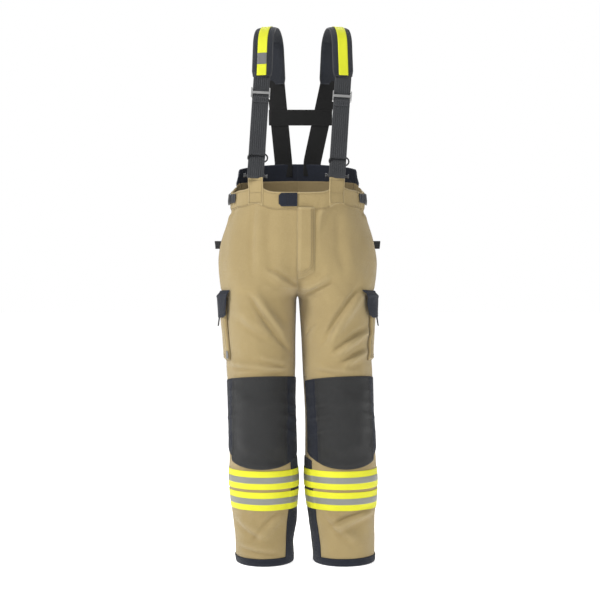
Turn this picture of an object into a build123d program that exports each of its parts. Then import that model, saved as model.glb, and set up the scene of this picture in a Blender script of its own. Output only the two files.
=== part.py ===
from build123d import *
import math
import os

# Fire fighter's bunker trousers with braces, as worn: +Z up, front at -Y, the wearer's left at +X.
# The origin is on the floor, midway between the two side seams. Millimetres.

# ---------------------------------------------------------------- garment heights
ankle_height = 80
calf_height = 220
knee_height = 420
crotch_height = 735
fork_rise = 50           # crotch to where the two legs have half joined
hip_rise = 100           # crotch to the widest place of the seat
high_hip_rise = 155
side_rise = 220
waist_rise = 300         # crotch to the waist edge at the side seams
waistband_depth = 50
band_height = 60         # raised back band above the waist edge, behind
band_end_height = 42

# ---------------------------------------------------------------- garment girths
hem_half_width = 82
hem_half_depth = 88
calf_half_width = 99
calf_half_depth = 101
knee_half_width = 93
knee_half_depth = 102
thigh_half_width = 102
thigh_half_depth = 138
hip_half_width = 224
hip_half_depth = 147.5
waist_half_width = 182
waist_half_depth = 132.6
leg_gap = 3              # from the centre plane to the inside of each leg, at the crotch
stance = {"right": -14.5, "left": 25}      # how far each hem stands out from under its hip
fullness = {"right": -0.04, "left": 0.04}  # each leg's width at the hem against the pattern

# ---------------------------------------------------------------- fabrics
shell = 2.5              # outer fabric with its moisture barrier
liner = 1.5              # quilted thermal lining
ply_gap = 0.5            # between two layers that lie on each other
seam_gap = 0.4           # between two pieces that move apart
bend_gap = 1.0           # extra room where a piece slides past another

# ---------------------------------------------------------------- hips and knees
hip_axis_height = 880
crease_depth = 100       # height of the fabric that folds at the hip
crease_slope = 2 / 3     # rise of the groin fold for each step outwards
crease_top = 20          # groin fold above the crotch, at the centre seam
knee_zone_back = 200     # height of the fabric that folds behind the knee
knee_zone_front = 60

# ---------------------------------------------------------------- trim on the legs
patch_above = 100        # knee patch, above and below the knee joint
patch_below = 148
patch_thick = 2
patch_middle = 150       # the patch's side strips end higher than its middle
pad_above = 45           # knee pad under the patch
pad_below = 115
pad_half_width = 62
pad_thick = 7
tape_width = 50
tape_gap = 8
tape_thick = 1
tape_bottom = 154
guard_top = 295
guard_share = 0.78       # where the inside leg guard starts, of the leg's half width
guard_thick = 1.5
binding_height = 28
binding_thick = 1.5

# ---------------------------------------------------------------- thigh pockets
pocket_bottom_drop = 175  # below the crotch
pocket_top_drop = 1
pocket_front = 66
pocket_back = 76
pocket_depth = 14         # at the mouth
pocket_depth_low = 7
pocket_wall = 1.2
flap_top_rise = 20
flap_length = 76
flap_front = 98
flap_back = 88
flap_taper = 36          # how much narrower the flap is at its lower edge, front and back
flap_thick = 2
flap_slope = 18          # height of the slanting top of the flap
pull_width = 22
pull_length = 26

# ---------------------------------------------------------------- fly and waist closure
fly_width = 46
fly_backing = 7
fly_thick = 2
fly_stand = 6            # how far the fly cover stands off the trousers
zip_x = 16               # zip, beside the centre seam
zip_width = 16
zip_stand = 1.3
zip_thick = 1.2
zip_slider_thick = 1.6
zip_slider_height = 16
tab_length = 49
tab_height = 36
tab_drop = 2             # below the waist edge
tab_thick = 2.5
tab_stand = 1.2
adjuster_length = 62
adjuster_height = 25
adjuster_drop = 28
hip_loop_height = 882
hip_loop_width = 22
hip_loop_reach = 13

# ---------------------------------------------------------------- braces
shoulder_top = 1490
shoulder_radius = 58
front_lean = 7.5         # degrees off the vertical
back_lean = 11.5
brace_top_x = {"right": -81, "left": 109}
brace_twist = 32         # the back end of each pad is this much nearer the middle
pad_length_front = 92
pad_length_back = 92
shoulder_pad_width = 56
shoulder_pad_thick = 9
stripe_width = 26
stripe_thick = 0.8
pad_gap = 3              # from the pad's end to the webbing
front_webbing = 44
back_webbing = 50
webbing_thick = 2
brace_tab_x = {"right": -113, "left": 107}
brace_tab_width = 45
brace_tab_top = 1062
ring_drop = {"right": 1113, "left": 1103}    # height of each link's middle
slider_height = {"right": 1292, "left": 1282}
ring_width = 57
ring_height = 27
ring_wire = 4.4
ring_shift = 3
loop_width = 22          # webbing gathered where it goes round the link
slider_wire = 3
slider_bar = 7
slider_tall = 28
toggle_radius = 3.5
toggle_reach = 10
cross_height = 1253
cross_width = 44
cross_stand = 3          # room for the back straps' own slant
back_strap_x = {"right": -41, "left": 42}
back_strap_foot = 1085

huge = 4000
sides = {"right": -1, "left": 1}
waist_height = crotch_height + waist_rise
above_knee = knee_height + 97
mid_thigh = (above_knee + crotch_height) / 2
form_top = waist_height + 110
leg_centre = thigh_half_width + leg_gap
lining_depth = -(shell + ply_gap + liner)

# The belly is flat from the crotch to the waist edge, so that the zip can run straight.
belly_low = (crotch_height + hip_rise, 6.5 - hip_half_depth)
belly_high = (waist_height, -waist_half_depth)
belly_slope = (belly_high[1] - belly_low[1]) / (belly_high[0] - belly_low[0])


def belly_level(height, centre, half_width, forward):
    """A level whose front edge lies on the flat of the belly."""
    front_y = belly_low[1] + belly_slope * (height - belly_low[0])
    return (height, centre, half_width, forward - front_y, forward)


# Cross-sections of one leg: height, centre from the middle, half width, half depth, centre back.
# Over the crotch each leg's section reaches past the middle, where the two halves are joined.
levels = [
    (-200, leg_centre, hem_half_width - 10, hem_half_depth, 4),
    (ankle_height, leg_centre, hem_half_width + 4, hem_half_depth + 2, 3),
    (calf_height, leg_centre, calf_half_width, calf_half_depth, 1),
    (knee_height, leg_centre, knee_half_width, knee_half_depth, -6),
    (above_knee, leg_centre, knee_half_width + 3, knee_half_depth + 8, -4),
    (mid_thigh, leg_centre, (knee_half_width + thigh_half_width) / 2,
     (knee_half_depth + thigh_half_depth) / 2 + 5, 0),
    (crotch_height, leg_centre, thigh_half_width, thigh_half_depth, 4),
    (crotch_height + fork_rise, 80, hip_half_width - 85, hip_half_depth - 4, 6),
    belly_level(crotch_height + hip_rise, 36, hip_half_width - 36, 6.5),
    belly_level(crotch_height + high_hip_rise, 8, hip_half_width - 17, 6),
    belly_level(crotch_height + side_rise, 0, (hip_half_width + waist_half_width) / 2 - 10, 4),
    belly_level(waist_height - waistband_depth, 0, waist_half_width + 1, 2),
    (waist_height, 0, waist_half_width, waist_half_depth, 0),
    (form_top, 0, waist_half_width - 2, waist_half_depth - 1, 0),
]


def section(side, height):
    """Centre x, half width, half depth and centre y of a leg's outer surface, straight between levels."""
    i = max(k for k in range(len(levels) - 1) if levels[k][0] <= height)
    low, high = levels[i], levels[i + 1]
    t = (height - low[0]) / (high[0] - low[0])
    centre, half_width, half_depth, forward = [low[k] + t * (high[k] - low[k]) for k in range(1, 5)]
    below = 1 - height / crotch_height
    if below < 0:
        below = 0
    centre = sides[side] * (centre + stance[side] * below)
    return centre, half_width * (1 + fullness[side] * below), half_depth, forward


def half_space(point, outward):
    """A block that fills one side of a plane; outward is the plane's normal, away from the block."""
    return Plane(origin=point, z_dir=outward) * Pos(0, 0, -huge / 2) * Box(huge, huge, huge)


def above(plane):
    point, normal = plane
    return half_space(point, tuple(-n for n in normal))


def below(plane):
    return half_space(*plane)


def slab(low, high):
    return Pos(0, 0, (low + high) / 2) * Box(huge, huge, high - low)


def across(low, high):
    return Pos((low + high) / 2, 0, 0) * Box(high - low, huge, huge)


def along(low, high):
    return Pos(0, (low + high) / 2, 0) * Box(huge, high - low, huge)


def form(side, low, high, wide, deep):
    """The solid inside a leg's surface from low to high, moved out by wide at the sides, deep in front."""
    heights = [low] + [z for z, *unused in levels if low < z < high] + [high]
    rings = Sketch()
    for z in heights:
        cx, a, b, cy = section(side, z)
        rings += [Pos(cx, cy, z) * Ellipse(a + wide, b + deep)]
    body = loft(rings, ruled=True)
    if high > crotch_height:
        body = body & half_space((0, 0, 0), (-sides[side], 0, 0))
    return body


def layer(side, low, high, outer, inner, deeper=0):
    """One ply of cloth round a leg, between two distances from its surface, deeper in front."""
    outside = form(side, low, high, outer, outer + deeper)
    return outside - form(side, low - 5, high + 5, inner, inner + deeper)


def wedge(side, low, high, out_low, out_high):
    """As form, but moved out further at the top than at the bottom."""
    heights = [low] + [z for z, *unused in levels if low < z < high] + [high]
    rings = Sketch()
    for z in heights:
        cx, a, b, cy = section(side, z)
        out = out_low + (out_high - out_low) * (z - low) / (high - low)
        rings += [Pos(cx, cy, z) * Ellipse(a + out, b + out)]
    return loft(rings, ruled=True)


front = along(-huge / 2, 0)
back = along(0, huge / 2)
outer_half = {side: half_space((sign * thigh_half_width, 0, 0), (-sign, 0, 0)) for side, sign in sides.items()}

# The waist edge is a tilted plane, low at the front.
rim_tilt = 22 / waist_half_depth
rim_plane = ((0, 0, waist_height + 4), (0, -rim_tilt, 1))
band_rise = rim_tilt + (band_height - band_end_height) / waist_half_depth
band_plane = ((0, 0, waist_height + 4 + band_end_height), (0, -band_rise, 1))
band_end = ((0, 14, waist_height), (0, -1, 0.7))
facing_line = waist_height - waistband_depth

# The groin fold is a plane that rises outwards from the centre seam; the knee fold widens to the back.
knee_half = (knee_zone_back + knee_zone_front) / 4
knee_tilt = (knee_zone_back - knee_zone_front) / 4 / knee_half_depth
knee_top = ((0, 0, knee_height + knee_half), (0, -knee_tilt, 1))
knee_low = ((0, 0, knee_height - knee_half), (0, knee_tilt, 1))
knee_reach = knee_half + knee_tilt * (knee_half_depth + 20)


def groin_plane(side, drop):
    return (0, 0, crotch_height + crease_top - drop), (-sides[side] * crease_slope, 0, 1)


parts = {}


def add(name, shape):
    """Keep a part under its name."""
    parts[name] = shape


pieces = {"brace_tabs": [], "hip_loops": [], "waist_adjusters": [], "waist_facing": [], "raised_back_band": [],
          "pad_stripes": []}

for side, sign in sides.items():
    fold_top = groin_plane(side, 0)
    fold_low = groin_plane(side, crease_depth)
    seat_low = crotch_height + crease_top - 5
    fold_high = crotch_height + crease_top + crease_slope * hip_half_width + 5
    seat_high = waist_height + 40

    # Seat, groin fold, thigh, knee fold and shin: one tube of cloth, divided where it bends.
    seat = layer(side, seat_low, seat_high, 0, -shell) & above(fold_top) & below(rim_plane)
    add(f"{side}_seat_front", seat & front)
    add(f"{side}_seat_back", seat & back)
    fold = layer(side, seat_low - crease_depth, fold_high, 0, lining_depth)
    add(f"{side}_hip_fold", fold & below(fold_top) & above(fold_low))
    thigh_low = knee_height
    thigh_high = fold_high - crease_depth
    thigh = layer(side, thigh_low, thigh_high, 0, -shell)
    add(f"{side}_thigh", thigh & below(fold_low) & above(knee_top))
    knee = layer(side, knee_height - knee_reach, knee_height + knee_reach, 0, lining_depth)
    add(f"{side}_knee_fold", knee & below(knee_top) & above(knee_low))
    shin = layer(side, binding_thick + ply_gap, knee_height, 0, -shell)
    add(f"{side}_shin", shin & below(knee_low))
    lined = (-shell - ply_gap, lining_depth)
    add(f"{side}_seat_lining", layer(side, seat_low, facing_line, *lined) & above(fold_top))
    lining = layer(side, thigh_low, thigh_high, *lined)
    add(f"{side}_thigh_lining", lining & below(fold_low) & above(knee_top))
    add(f"{side}_shin_lining", layer(side, binding_height + ply_gap, knee_height, *lined) & below(knee_low))

    # Hem binding: a folded strip that closes round the cloth's lower edge.
    strip = layer(side, 0, binding_height, ply_gap + binding_thick, lining_depth)
    channel = layer(side, binding_thick, binding_height + 10, ply_gap, -shell - ply_gap)
    add(f"{side}_hem_binding", strip - channel)

    # Knee pad in its pocket, and the patch sewn over it.
    knee_x = section(side, knee_height)[0]
    pad = form(side, knee_height - pad_below, knee_height + pad_above, bend_gap, bend_gap + pad_thick)
    pad = pad - form(side, knee_height - patch_below, knee_height + patch_above, ply_gap, bend_gap)
    add(f"{side}_knee_pad", pad & front & across(knee_x - pad_half_width, knee_x + pad_half_width))
    patch = layer(side, knee_height - patch_below, knee_height + patch_above,
                  bend_gap + ply_gap + patch_thick, bend_gap + ply_gap, pad_thick)
    patch = patch & along(-huge / 2, -10)
    strips_low = slab(guard_top + 2 * bend_gap, knee_height + patch_above)
    middle = across(knee_x - patch_middle / 2, knee_x + patch_middle / 2)
    add(f"{side}_knee_patch", (patch & strips_low) + (patch & middle))

    # Inside leg guard and the two reflective tapes over it, each sewn on in a front and a back length.
    cx, a, b, cy = section(side, calf_height)
    guard_edge = ((cx - sign * guard_share * a, 0, 0), (sign, 0, 0))
    guard = layer(side, binding_height + ply_gap, guard_top, ply_gap + guard_thick, ply_gap)
    add(f"{side}_leg_guard", guard & below(guard_edge))
    tape_in = 2 * ply_gap + guard_thick
    tape_out = tape_in + tape_thick
    tapes = []
    for k in range(2):
        low = tape_bottom + k * (tape_width + tape_gap)
        high = low + tape_width
        ring = form(side, low, high, tape_out, tape_out) - form(side, low, high, tape_in, tape_in)
        tapes += [ring & front, ring & back]
    add(f"{side}_reflective_tapes", Compound(children=tapes))

    # Thigh pocket: a pouch with its back on the trousers, open at the top under the flap.
    pocket_low = crotch_height - pocket_bottom_drop
    pocket_high = crotch_height - pocket_top_drop
    pocket_ends = (pocket_low, pocket_high)
    pouch = wedge(side, *pocket_ends, ply_gap + pocket_depth_low, ply_gap + pocket_depth)
    pouch = pouch - form(side, pocket_low - 5, pocket_high + 5, ply_gap, ply_gap)
    pouch = pouch & outer_half[side] & along(-pocket_front, pocket_back)
    wall_in = ply_gap - pocket_wall
    inside = wedge(side, *pocket_ends, pocket_depth_low + wall_in, pocket_depth + wall_in)
    inside = inside - form(side, pocket_low - 5, pocket_high + 5, ply_gap + pocket_wall, ply_gap + pocket_wall)
    inside = inside & outer_half[side] & along(-pocket_front + pocket_wall, pocket_back - pocket_wall)
    inside = inside & slab(pocket_low + pocket_wall, pocket_high + 5)
    add(f"{side}_pocket", pouch - inside)

    # Pocket flap: slants out from its sewn edge, then hangs in front of the pouch.
    flap_top = crotch_height + flap_top_rise
    flap_low = flap_top - flap_length
    flap_out = ply_gap + pocket_depth + bend_gap
    shapes = []
    for thick in (flap_thick, 0):
        rings = Sketch()
        for z, out in ((flap_low, flap_out), (flap_top - flap_slope, flap_out), (flap_top, bend_gap)):
            cx, a, b, cy = section(side, z)
            rings += [Pos(cx, cy, z) * Ellipse(a + out + thick, b + out + thick)]
        shapes += [loft(rings, ruled=True)]
    lean = flap_taper / flap_length
    flap = (shapes[0] - shapes[1]) & outer_half[side]
    flap = flap & half_space((0, -flap_front, flap_top), (0, -1, -lean))
    flap = flap & half_space((0, flap_back, flap_top), (0, 1, -lean))
    cx, a, b, cy = section(side, flap_low)
    pull_x = cx + sign * (a + flap_out + flap_thick / 2)
    pull = Pos(pull_x, cy, flap_low - pull_length / 2 + 2) * Box(flap_thick, pull_width, pull_length + 4)
    add(f"{side}_pocket_flap", flap + pull)

    # Raised tab that carries the brace.
    tab_x = brace_tab_x[side]
    tab_end = brace_tab_top - toggle_radius - bend_gap
    tab = layer(side, waist_height - 40, tab_end, 0, -shell) & front & above(rim_plane)
    pieces["brace_tabs"] += [tab & across(tab_x - brace_tab_width / 2, tab_x + brace_tab_width / 2)]

    # Waist adjuster: a short strap lying on the waistband, forward from the side seam.
    strap_low = waist_height - adjuster_drop - adjuster_height / 2
    strap = layer(side, strap_low, strap_low + adjuster_height, bend_gap + webbing_thick, bend_gap)
    pieces["waist_adjusters"] += [strap & along(-adjuster_length, 0) & outer_half[side]]

    # Webbing loop folded flat, standing out of the side seam.
    cx, a, b, cy = section(side, hip_loop_height - hip_loop_width / 2)
    loop_mid = cx + sign * (a + ply_gap + hip_loop_reach / 2)
    loop_size = (hip_loop_reach, 2 * webbing_thick, hip_loop_width)
    pieces["hip_loops"] += [Pos(loop_mid, cy, hip_loop_height) * Box(*loop_size)]

    # The band inside the waist edge, and the raised band behind the wearer's back.
    pieces["waist_facing"] += [layer(side, facing_line, seat_high, *lined) & below(rim_plane)]
    raised = layer(side, waist_height, form_top - 10, 0, lining_depth) & above(rim_plane) & below(band_plane)
    pieces["raised_back_band"] += [raised & below(band_end)]

# Fly cover on the wearer's left, its backing strip along the seam, and the zip under it.
fly_low = crotch_height + crease_top + 30
fly_high = rim_plane[0][2] - rim_tilt * waist_half_depth - tab_drop - tab_height - 2
fly_foot = ((0, 0, crotch_height + crease_top + 6), (-crease_slope, 0, 1))
fly = layer("left", fly_low, fly_high, fly_stand + fly_thick, fly_stand) & front
add("fly_cover", fly & across(seam_gap, fly_width) & above(fly_foot))
backing = layer("left", fly_low, fly_high, fly_stand - 2 * seam_gap, ply_gap) & front
add("fly_backing", backing & across(fly_width - fly_backing, fly_width) & above(fly_foot))
zip_low = belly_low[0] - 8
zip_length = fly_high - 6 - zip_low
belly = Plane(origin=(zip_x, belly_low[1] + belly_slope * (zip_low - belly_low[0]), zip_low),
              x_dir=(1, 0, 0), z_dir=(0, belly_slope, 1))
zip_mid = -(zip_stand + zip_thick / 2)
add("zip", belly * Pos(0, zip_mid, zip_length / 2) * Box(zip_width, zip_thick, zip_length))
slider_mid = -(zip_stand + zip_thick + seam_gap / 2 + zip_slider_thick / 2)
slider_at = Pos(0, slider_mid, zip_length - zip_slider_height)
add("zip_slider", belly * slider_at * Box(8, zip_slider_thick, zip_slider_height))

# Waist tab: sewn beside the fly, closes to the wearer's right.
tab_high = rim_plane[0][2] - rim_tilt * waist_half_depth - tab_drop
tab = layer("right", tab_high - tab_height, tab_high, tab_stand + tab_thick, tab_stand)
add("waist_tab", tab & front & across(-tab_length, -seam_gap))

# ---------------------------------------------------------------- braces
upright = Plane(origin=(0, 0, 0), x_dir=(0, 1, 0), z_dir=(1, 0, 0)).location
arch_height = shoulder_top - shoulder_pad_thick - shoulder_radius
front_turn, back_turn = math.radians(front_lean), math.radians(back_lean)
bar_drop = (ring_height - ring_wire) / 2
loop_in = ring_wire / 2 + seam_gap
loop_out = loop_in + webbing_thick


def pad_end(radius, length, turn, forward):
    """The free end of a pad's straight run, in the brace's own upright plane."""
    return (forward * (radius * math.cos(turn) + length * math.sin(turn)),
            radius * math.sin(turn) - length * math.cos(turn))


def pad_line(radius, trim):
    """Front run, arc over the shoulder and back run."""
    front_top = pad_end(radius, 0, front_turn, -1)
    back_top = pad_end(radius, 0, back_turn, 1)
    front_end = pad_end(radius, pad_length_front - trim, front_turn, -1)
    back_end = pad_end(radius, pad_length_back - trim, back_turn, 1)
    return [Line(front_end, front_top), ThreePointArc(front_top, (0, radius), back_top),
            Line(back_top, back_end)], front_end, back_end


def over_shoulder(radius, thick, width, trim):
    """A band that lies over the shoulder, from radius outwards by thick."""
    inner, inner_front, inner_back = pad_line(radius, trim)
    outer, outer_front, outer_back = pad_line(radius + thick, trim)
    ends = [Line(inner_back, outer_back), Line(outer_front, inner_front)]
    return extrude(make_face(Wire(inner + outer + ends)), width / 2, both=True)


def strap_plane(point, run):
    """A frame with its width across the strap, its length down along it and its front at -Y."""
    wide = (Vector(1, 0, 0) - run * run.X).normalized()
    return Plane(origin=point, x_dir=wide, z_dir=run * -1)


def flat_strap(start, end, width, shift=0.0):
    """A flat strap from start to end; shift moves it towards its back."""
    run = (end - start).normalized()
    length = (end - start).length
    return strap_plane(start, run) * Pos(0, shift, -length / 2) * Box(width, webbing_thick, length)


def loop(plane, height):
    """The gathered end of a strap, rolled round a bar of the link."""
    ring = Cylinder(loop_out, loop_width) - Cylinder(loop_in, loop_width)
    return plane * Pos(0, 0, height) * Rot(0, 90, 0) * ring


cross_at = {}
back_runs = []
for side, sign in sides.items():
    yaw = math.degrees(math.atan2(sign * brace_twist, 2 * shoulder_radius + 20))
    arch = Pos(brace_top_x[side], 0, arch_height) * Rot(0, 0, yaw) * upright
    add(f"{side}_shoulder_pad", arch * over_shoulder(shoulder_radius, shoulder_pad_thick, shoulder_pad_width, 0))
    stripe_in = shoulder_radius + shoulder_pad_thick + ply_gap
    pieces["pad_stripes"] += [arch * over_shoulder(stripe_in, stripe_thick, stripe_width, 3)]
    mid_radius = shoulder_radius + shoulder_pad_thick / 2
    unused, front_end, back_end = pad_line(mid_radius, 0)
    pad_front = (arch * Pos(*front_end, 0)).position
    pad_back = (arch * Pos(*back_end, 0)).position

    # Front webbing: from the pad through the slider to the link, and from the link to the tab.
    cx, a, b, cy = section(side, brace_tab_top)
    tab_y = cy - b * math.sqrt(1 - (brace_tab_x[side] / a) ** 2)
    foot = Vector(brace_tab_x[side], tab_y - 2 * toggle_radius - webbing_thick, brace_tab_top + 4)
    run = (foot - pad_front).normalized()
    link_mid = pad_front + run * ((pad_front.Z - ring_drop[side]) / -run.Z)
    slider_mid = pad_front + run * ((pad_front.Z - slider_height[side]) / -run.Z)
    at_link = strap_plane(link_mid, run)
    upper_end = link_mid - run * (bar_drop + (loop_in + loop_out) / 2)
    lower_start = link_mid + run * (bar_drop + (loop_in + loop_out) / 2)
    doubled = webbing_thick + ply_gap
    upper = flat_strap(pad_front + run * pad_gap, upper_end, front_webbing)
    returned = flat_strap(slider_mid, upper_end, front_webbing, -doubled)
    fold = at_link * Pos(0, -doubled / 2, bar_drop + loop_out + webbing_thick / 2) * Box(
        front_webbing, webbing_thick + doubled, webbing_thick)
    add(f"{side}_front_strap", upper + returned + fold + loop(at_link, bar_drop))
    add(f"{side}_end_strap", flat_strap(lower_start, foot, front_webbing) + loop(at_link, -bar_drop))

    # Oval link between the two straps.
    half = (ring_width - ring_height) / 2
    bar = Rot(0, 90, 0) * Cylinder(ring_wire / 2, 2 * half)
    bend = Rot(90, 0, 0) * Torus(bar_drop, ring_wire / 2)
    link = Pos(0, 0, bar_drop) * bar + Pos(0, 0, -bar_drop) * bar
    link = link + (Pos(half, 0, 0) * bend & across(half, huge)) + (Pos(-half, 0, 0) * bend & across(-huge, -half))
    add(f"{side}_brace_link", at_link * Pos(ring_shift, 0, 0) * link)

    # Slider: bars behind and in front of the doubled webbing, joined by cheeks beside it.
    clear = front_webbing / 2 + bend_gap
    behind = webbing_thick / 2 + bend_gap + slider_wire / 2
    before = behind + doubled
    rear = Rot(0, 90, 0) * Cylinder(slider_wire / 2, 2 * clear + slider_wire)
    built = Pos(0, -before, 0) * Box(2 * clear + 2 * slider_wire, slider_wire, slider_bar)
    for k in (-1, 1):
        built = built + Pos(0, behind, k * (slider_tall - slider_wire) / 2) * rear
        cheek = Box(slider_wire, before + behind + slider_wire, slider_tall)
        built = built + Pos(k * (clear + slider_wire / 2), (behind - before) / 2, 0) * cheek
    add(f"{side}_strap_slider", strap_plane(slider_mid, run) * built)

    # Toggle: a bar across the end of the strap, with flared ends.
    reach = front_webbing / 2 + toggle_reach
    toggle = Rot(0, 90, 0) * Cylinder(toggle_radius, 2 * reach - 10)
    for k in (-1, 1):
        toggle = toggle + Pos(k * (reach - 4), 0, 0) * Rot(0, k * 90, 0) * Cone(toggle_radius, toggle_radius + 2.5, 8)
    add(f"{side}_brace_toggle", strap_plane(foot + run * (toggle_radius + ply_gap / 2), run) * toggle)

    # Back webbing from the pad to the top of the raised band, then down its outside.
    foot_x = back_strap_x[side]
    band_y = waist_half_depth + ply_gap + webbing_thick / 2
    over_band = Vector(foot_x, band_y, band_plane[0][2] + band_rise * waist_half_depth + 2 * webbing_thick)
    back_low = Vector(foot_x, band_y, back_strap_foot)
    back_run = (over_band - pad_back).normalized()
    strap = flat_strap(pad_back + back_run * pad_gap, over_band, back_webbing)
    add(f"{side}_back_strap", strap + flat_strap(over_band + Vector(0, 0, webbing_thick / 2), back_low, back_webbing))
    cross_at[side] = pad_back + back_run * ((pad_back.Z - cross_height) / -back_run.Z)
    back_runs += [back_run]

# Cross strap between the two back straps, lying on their outside.
cross_run = (back_runs[0] + back_runs[1]).normalized()
cross_mid = (cross_at["left"] + cross_at["right"]) * 0.5
cross_length = cross_at["left"].X - cross_at["right"].X + back_webbing + 4
cross = Pos(0, webbing_thick + cross_stand, 0) * Box(cross_length, webbing_thick, cross_width)
add("cross_strap", strap_plane(cross_mid, cross_run) * cross)

for name, halves in pieces.items():
    touching = name in ("waist_facing", "raised_back_band")
    add(name, halves[0] + halves[1] if touching else Compound(children=halves))

os.makedirs("parts", exist_ok=True)
for name, shape in parts.items():
    export_step(shape, f"parts/{name}.step")
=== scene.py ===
import bmesh
import bpy
import math
import numpy as np
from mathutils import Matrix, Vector
from mathutils.bvhtree import BVHTree


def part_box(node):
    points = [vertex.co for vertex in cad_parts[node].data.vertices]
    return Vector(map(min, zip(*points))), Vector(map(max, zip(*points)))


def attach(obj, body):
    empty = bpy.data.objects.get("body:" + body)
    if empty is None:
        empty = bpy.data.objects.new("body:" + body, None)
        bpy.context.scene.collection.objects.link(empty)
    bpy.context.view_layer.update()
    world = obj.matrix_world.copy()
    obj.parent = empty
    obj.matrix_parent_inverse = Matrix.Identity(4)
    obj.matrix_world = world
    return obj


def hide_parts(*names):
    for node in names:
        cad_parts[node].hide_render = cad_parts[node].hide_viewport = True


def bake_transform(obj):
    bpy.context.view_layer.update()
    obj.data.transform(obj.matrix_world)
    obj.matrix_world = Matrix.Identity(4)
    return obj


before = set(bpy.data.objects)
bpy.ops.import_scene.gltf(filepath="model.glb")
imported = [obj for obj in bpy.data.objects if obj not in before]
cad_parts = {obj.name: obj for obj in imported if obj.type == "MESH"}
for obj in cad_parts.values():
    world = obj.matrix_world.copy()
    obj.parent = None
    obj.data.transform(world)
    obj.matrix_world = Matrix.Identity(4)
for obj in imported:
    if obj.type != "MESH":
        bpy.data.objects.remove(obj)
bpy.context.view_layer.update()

sides = {"right": -1, "left": 1}
scene = bpy.context.scene
columns = 192                     # round one leg, starting at the front middle or the inside seam
rowStep = 0.004
kneeSeam = 0.512                  # where the upper cloth ends under the knee patch


studio = {
    "cameraAt": (0.007, -3.2, 0.7276), "lens": 68.57, "worldStrength": 0.36, "floorGlow": 0.72,
    "floorReach": 60,
    "lamps": {  # place, what it shines at, size in metres, watts
        "keyLight": ((-2.9, -2.0, 3.6), (0, 0, 0.7), 1.1, 165),
        "fillLight": ((2.2, -3.2, 1.6), (0, 0, 0.7), 2.2, 34),
        "backLight": ((0.3, 2.0, 3.4), (0, 0, 0.9), 2.2, 55)}}


def areaLight(name, place, aim, size, power):
    lamp = bpy.data.lights.new(name, "AREA")
    lamp.shape, lamp.size, lamp.energy = "SQUARE", size, power
    holder = bpy.data.objects.new(name, lamp)
    holder.location = place
    holder.rotation_euler = (Vector(aim) - Vector(place)).to_track_quat("-Z", "Y").to_euler()
    scene.collection.objects.link(holder)


def makeStudio():
    camera = bpy.data.cameras.new("camera")
    camera.lens, camera.sensor_width = studio["lens"], 36
    holder = bpy.data.objects.new("camera", camera)
    holder.location = studio["cameraAt"]
    holder.rotation_euler = (math.radians(90), 0, 0)
    scene.collection.objects.link(holder)
    scene.camera = holder
    scene.view_settings.view_transform = "Standard"
    world = scene.world or bpy.data.worlds.new("studio")
    scene.world = world
    world.use_nodes = True
    tree = world.node_tree
    soft = tree.nodes["Background"]
    soft.inputs[0].default_value = (1, 1, 1, 1)
    soft.inputs[1].default_value = studio["worldStrength"]
    # the white the eye sees; the softer one lights the cloth
    seen = tree.nodes.new("ShaderNodeBackground")
    seen.inputs[0].default_value = (1, 1, 1, 1)
    chosen = tree.nodes.new("ShaderNodeMixShader")
    tree.links.new(tree.nodes.new("ShaderNodeLightPath").outputs["Is Camera Ray"], chosen.inputs[0])
    tree.links.new(soft.outputs[0], chosen.inputs[1])
    tree.links.new(seen.outputs[0], chosen.inputs[2])
    tree.links.new(chosen.outputs[0], tree.nodes["World Output"].inputs[0])
    for name, lamp in studio["lamps"].items():
        areaLight(name, *lamp)
    # a wide pale floor
    far = studio["floorReach"]
    verts = [(x, y, -0.0005) for x, y in ((-far, -far), (far, -far), (far, far), (-far, far))]
    mesh = bpy.data.meshes.new("paper")
    mesh.from_pydata(verts, [], [(0, 1, 2, 3)])
    mesh.shade_smooth()
    paper = bpy.data.objects.new("paper", mesh)
    scene.collection.objects.link(paper)
    mat = bpy.data.materials.new("paper")
    mat.use_nodes = True
    shader = mat.node_tree.nodes["Principled BSDF"]
    shader.inputs["Base Color"].default_value = (0.93, 0.93, 0.93, 1)
    shader.inputs["Roughness"].default_value = 0.9
    shader.inputs["Emission Color"].default_value = (1, 1, 1, 1)
    shader.inputs["Emission Strength"].default_value = studio["floorGlow"]
    mesh.materials.append(mat)


makeStudio()
print("studio ready")


def node(tree, kind, values=None, **settings):
    made = tree.nodes.new(kind)
    for name, value in settings.items():
        setattr(made, name, value)
    for name, value in (values or {}).items():
        made.inputs[name].default_value = value
    return made


def newMaterial(name, roughness, sheen=0.0, metallic=0.0, coat=0.0, specular=0.5):
    mat = bpy.data.materials.new(name)
    mat.use_nodes = True
    tree = mat.node_tree
    shader = tree.nodes["Principled BSDF"]
    shader.inputs["Roughness"].default_value = roughness
    shader.inputs["Metallic"].default_value = metallic
    shader.inputs["Sheen Weight"].default_value = sheen
    shader.inputs["Sheen Roughness"].default_value = 0.45
    shader.inputs["Coat Weight"].default_value = coat
    shader.inputs["Specular IOR Level"].default_value = specular
    return mat, tree, shader


def mixColour(tree, factor, low, high, lowLink=None):
    mixed = node(tree, "ShaderNodeMix", data_type="RGBA")
    tree.links.new(factor, mixed.inputs["Factor"])
    mixed.inputs[6].default_value = (*low, 1)
    mixed.inputs[7].default_value = (*high, 1)
    if lowLink is not None:
        tree.links.new(lowLink, mixed.inputs[6])
    return mixed.outputs[2]


def ramp(tree, value, low, high, outLow=0.0, outHigh=1.0):
    made = node(tree, "ShaderNodeMapRange",
                {"From Min": low, "From Max": high, "To Min": outLow, "To Max": outHigh})
    tree.links.new(value, made.inputs["Value"])
    return made.outputs["Result"]


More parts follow.
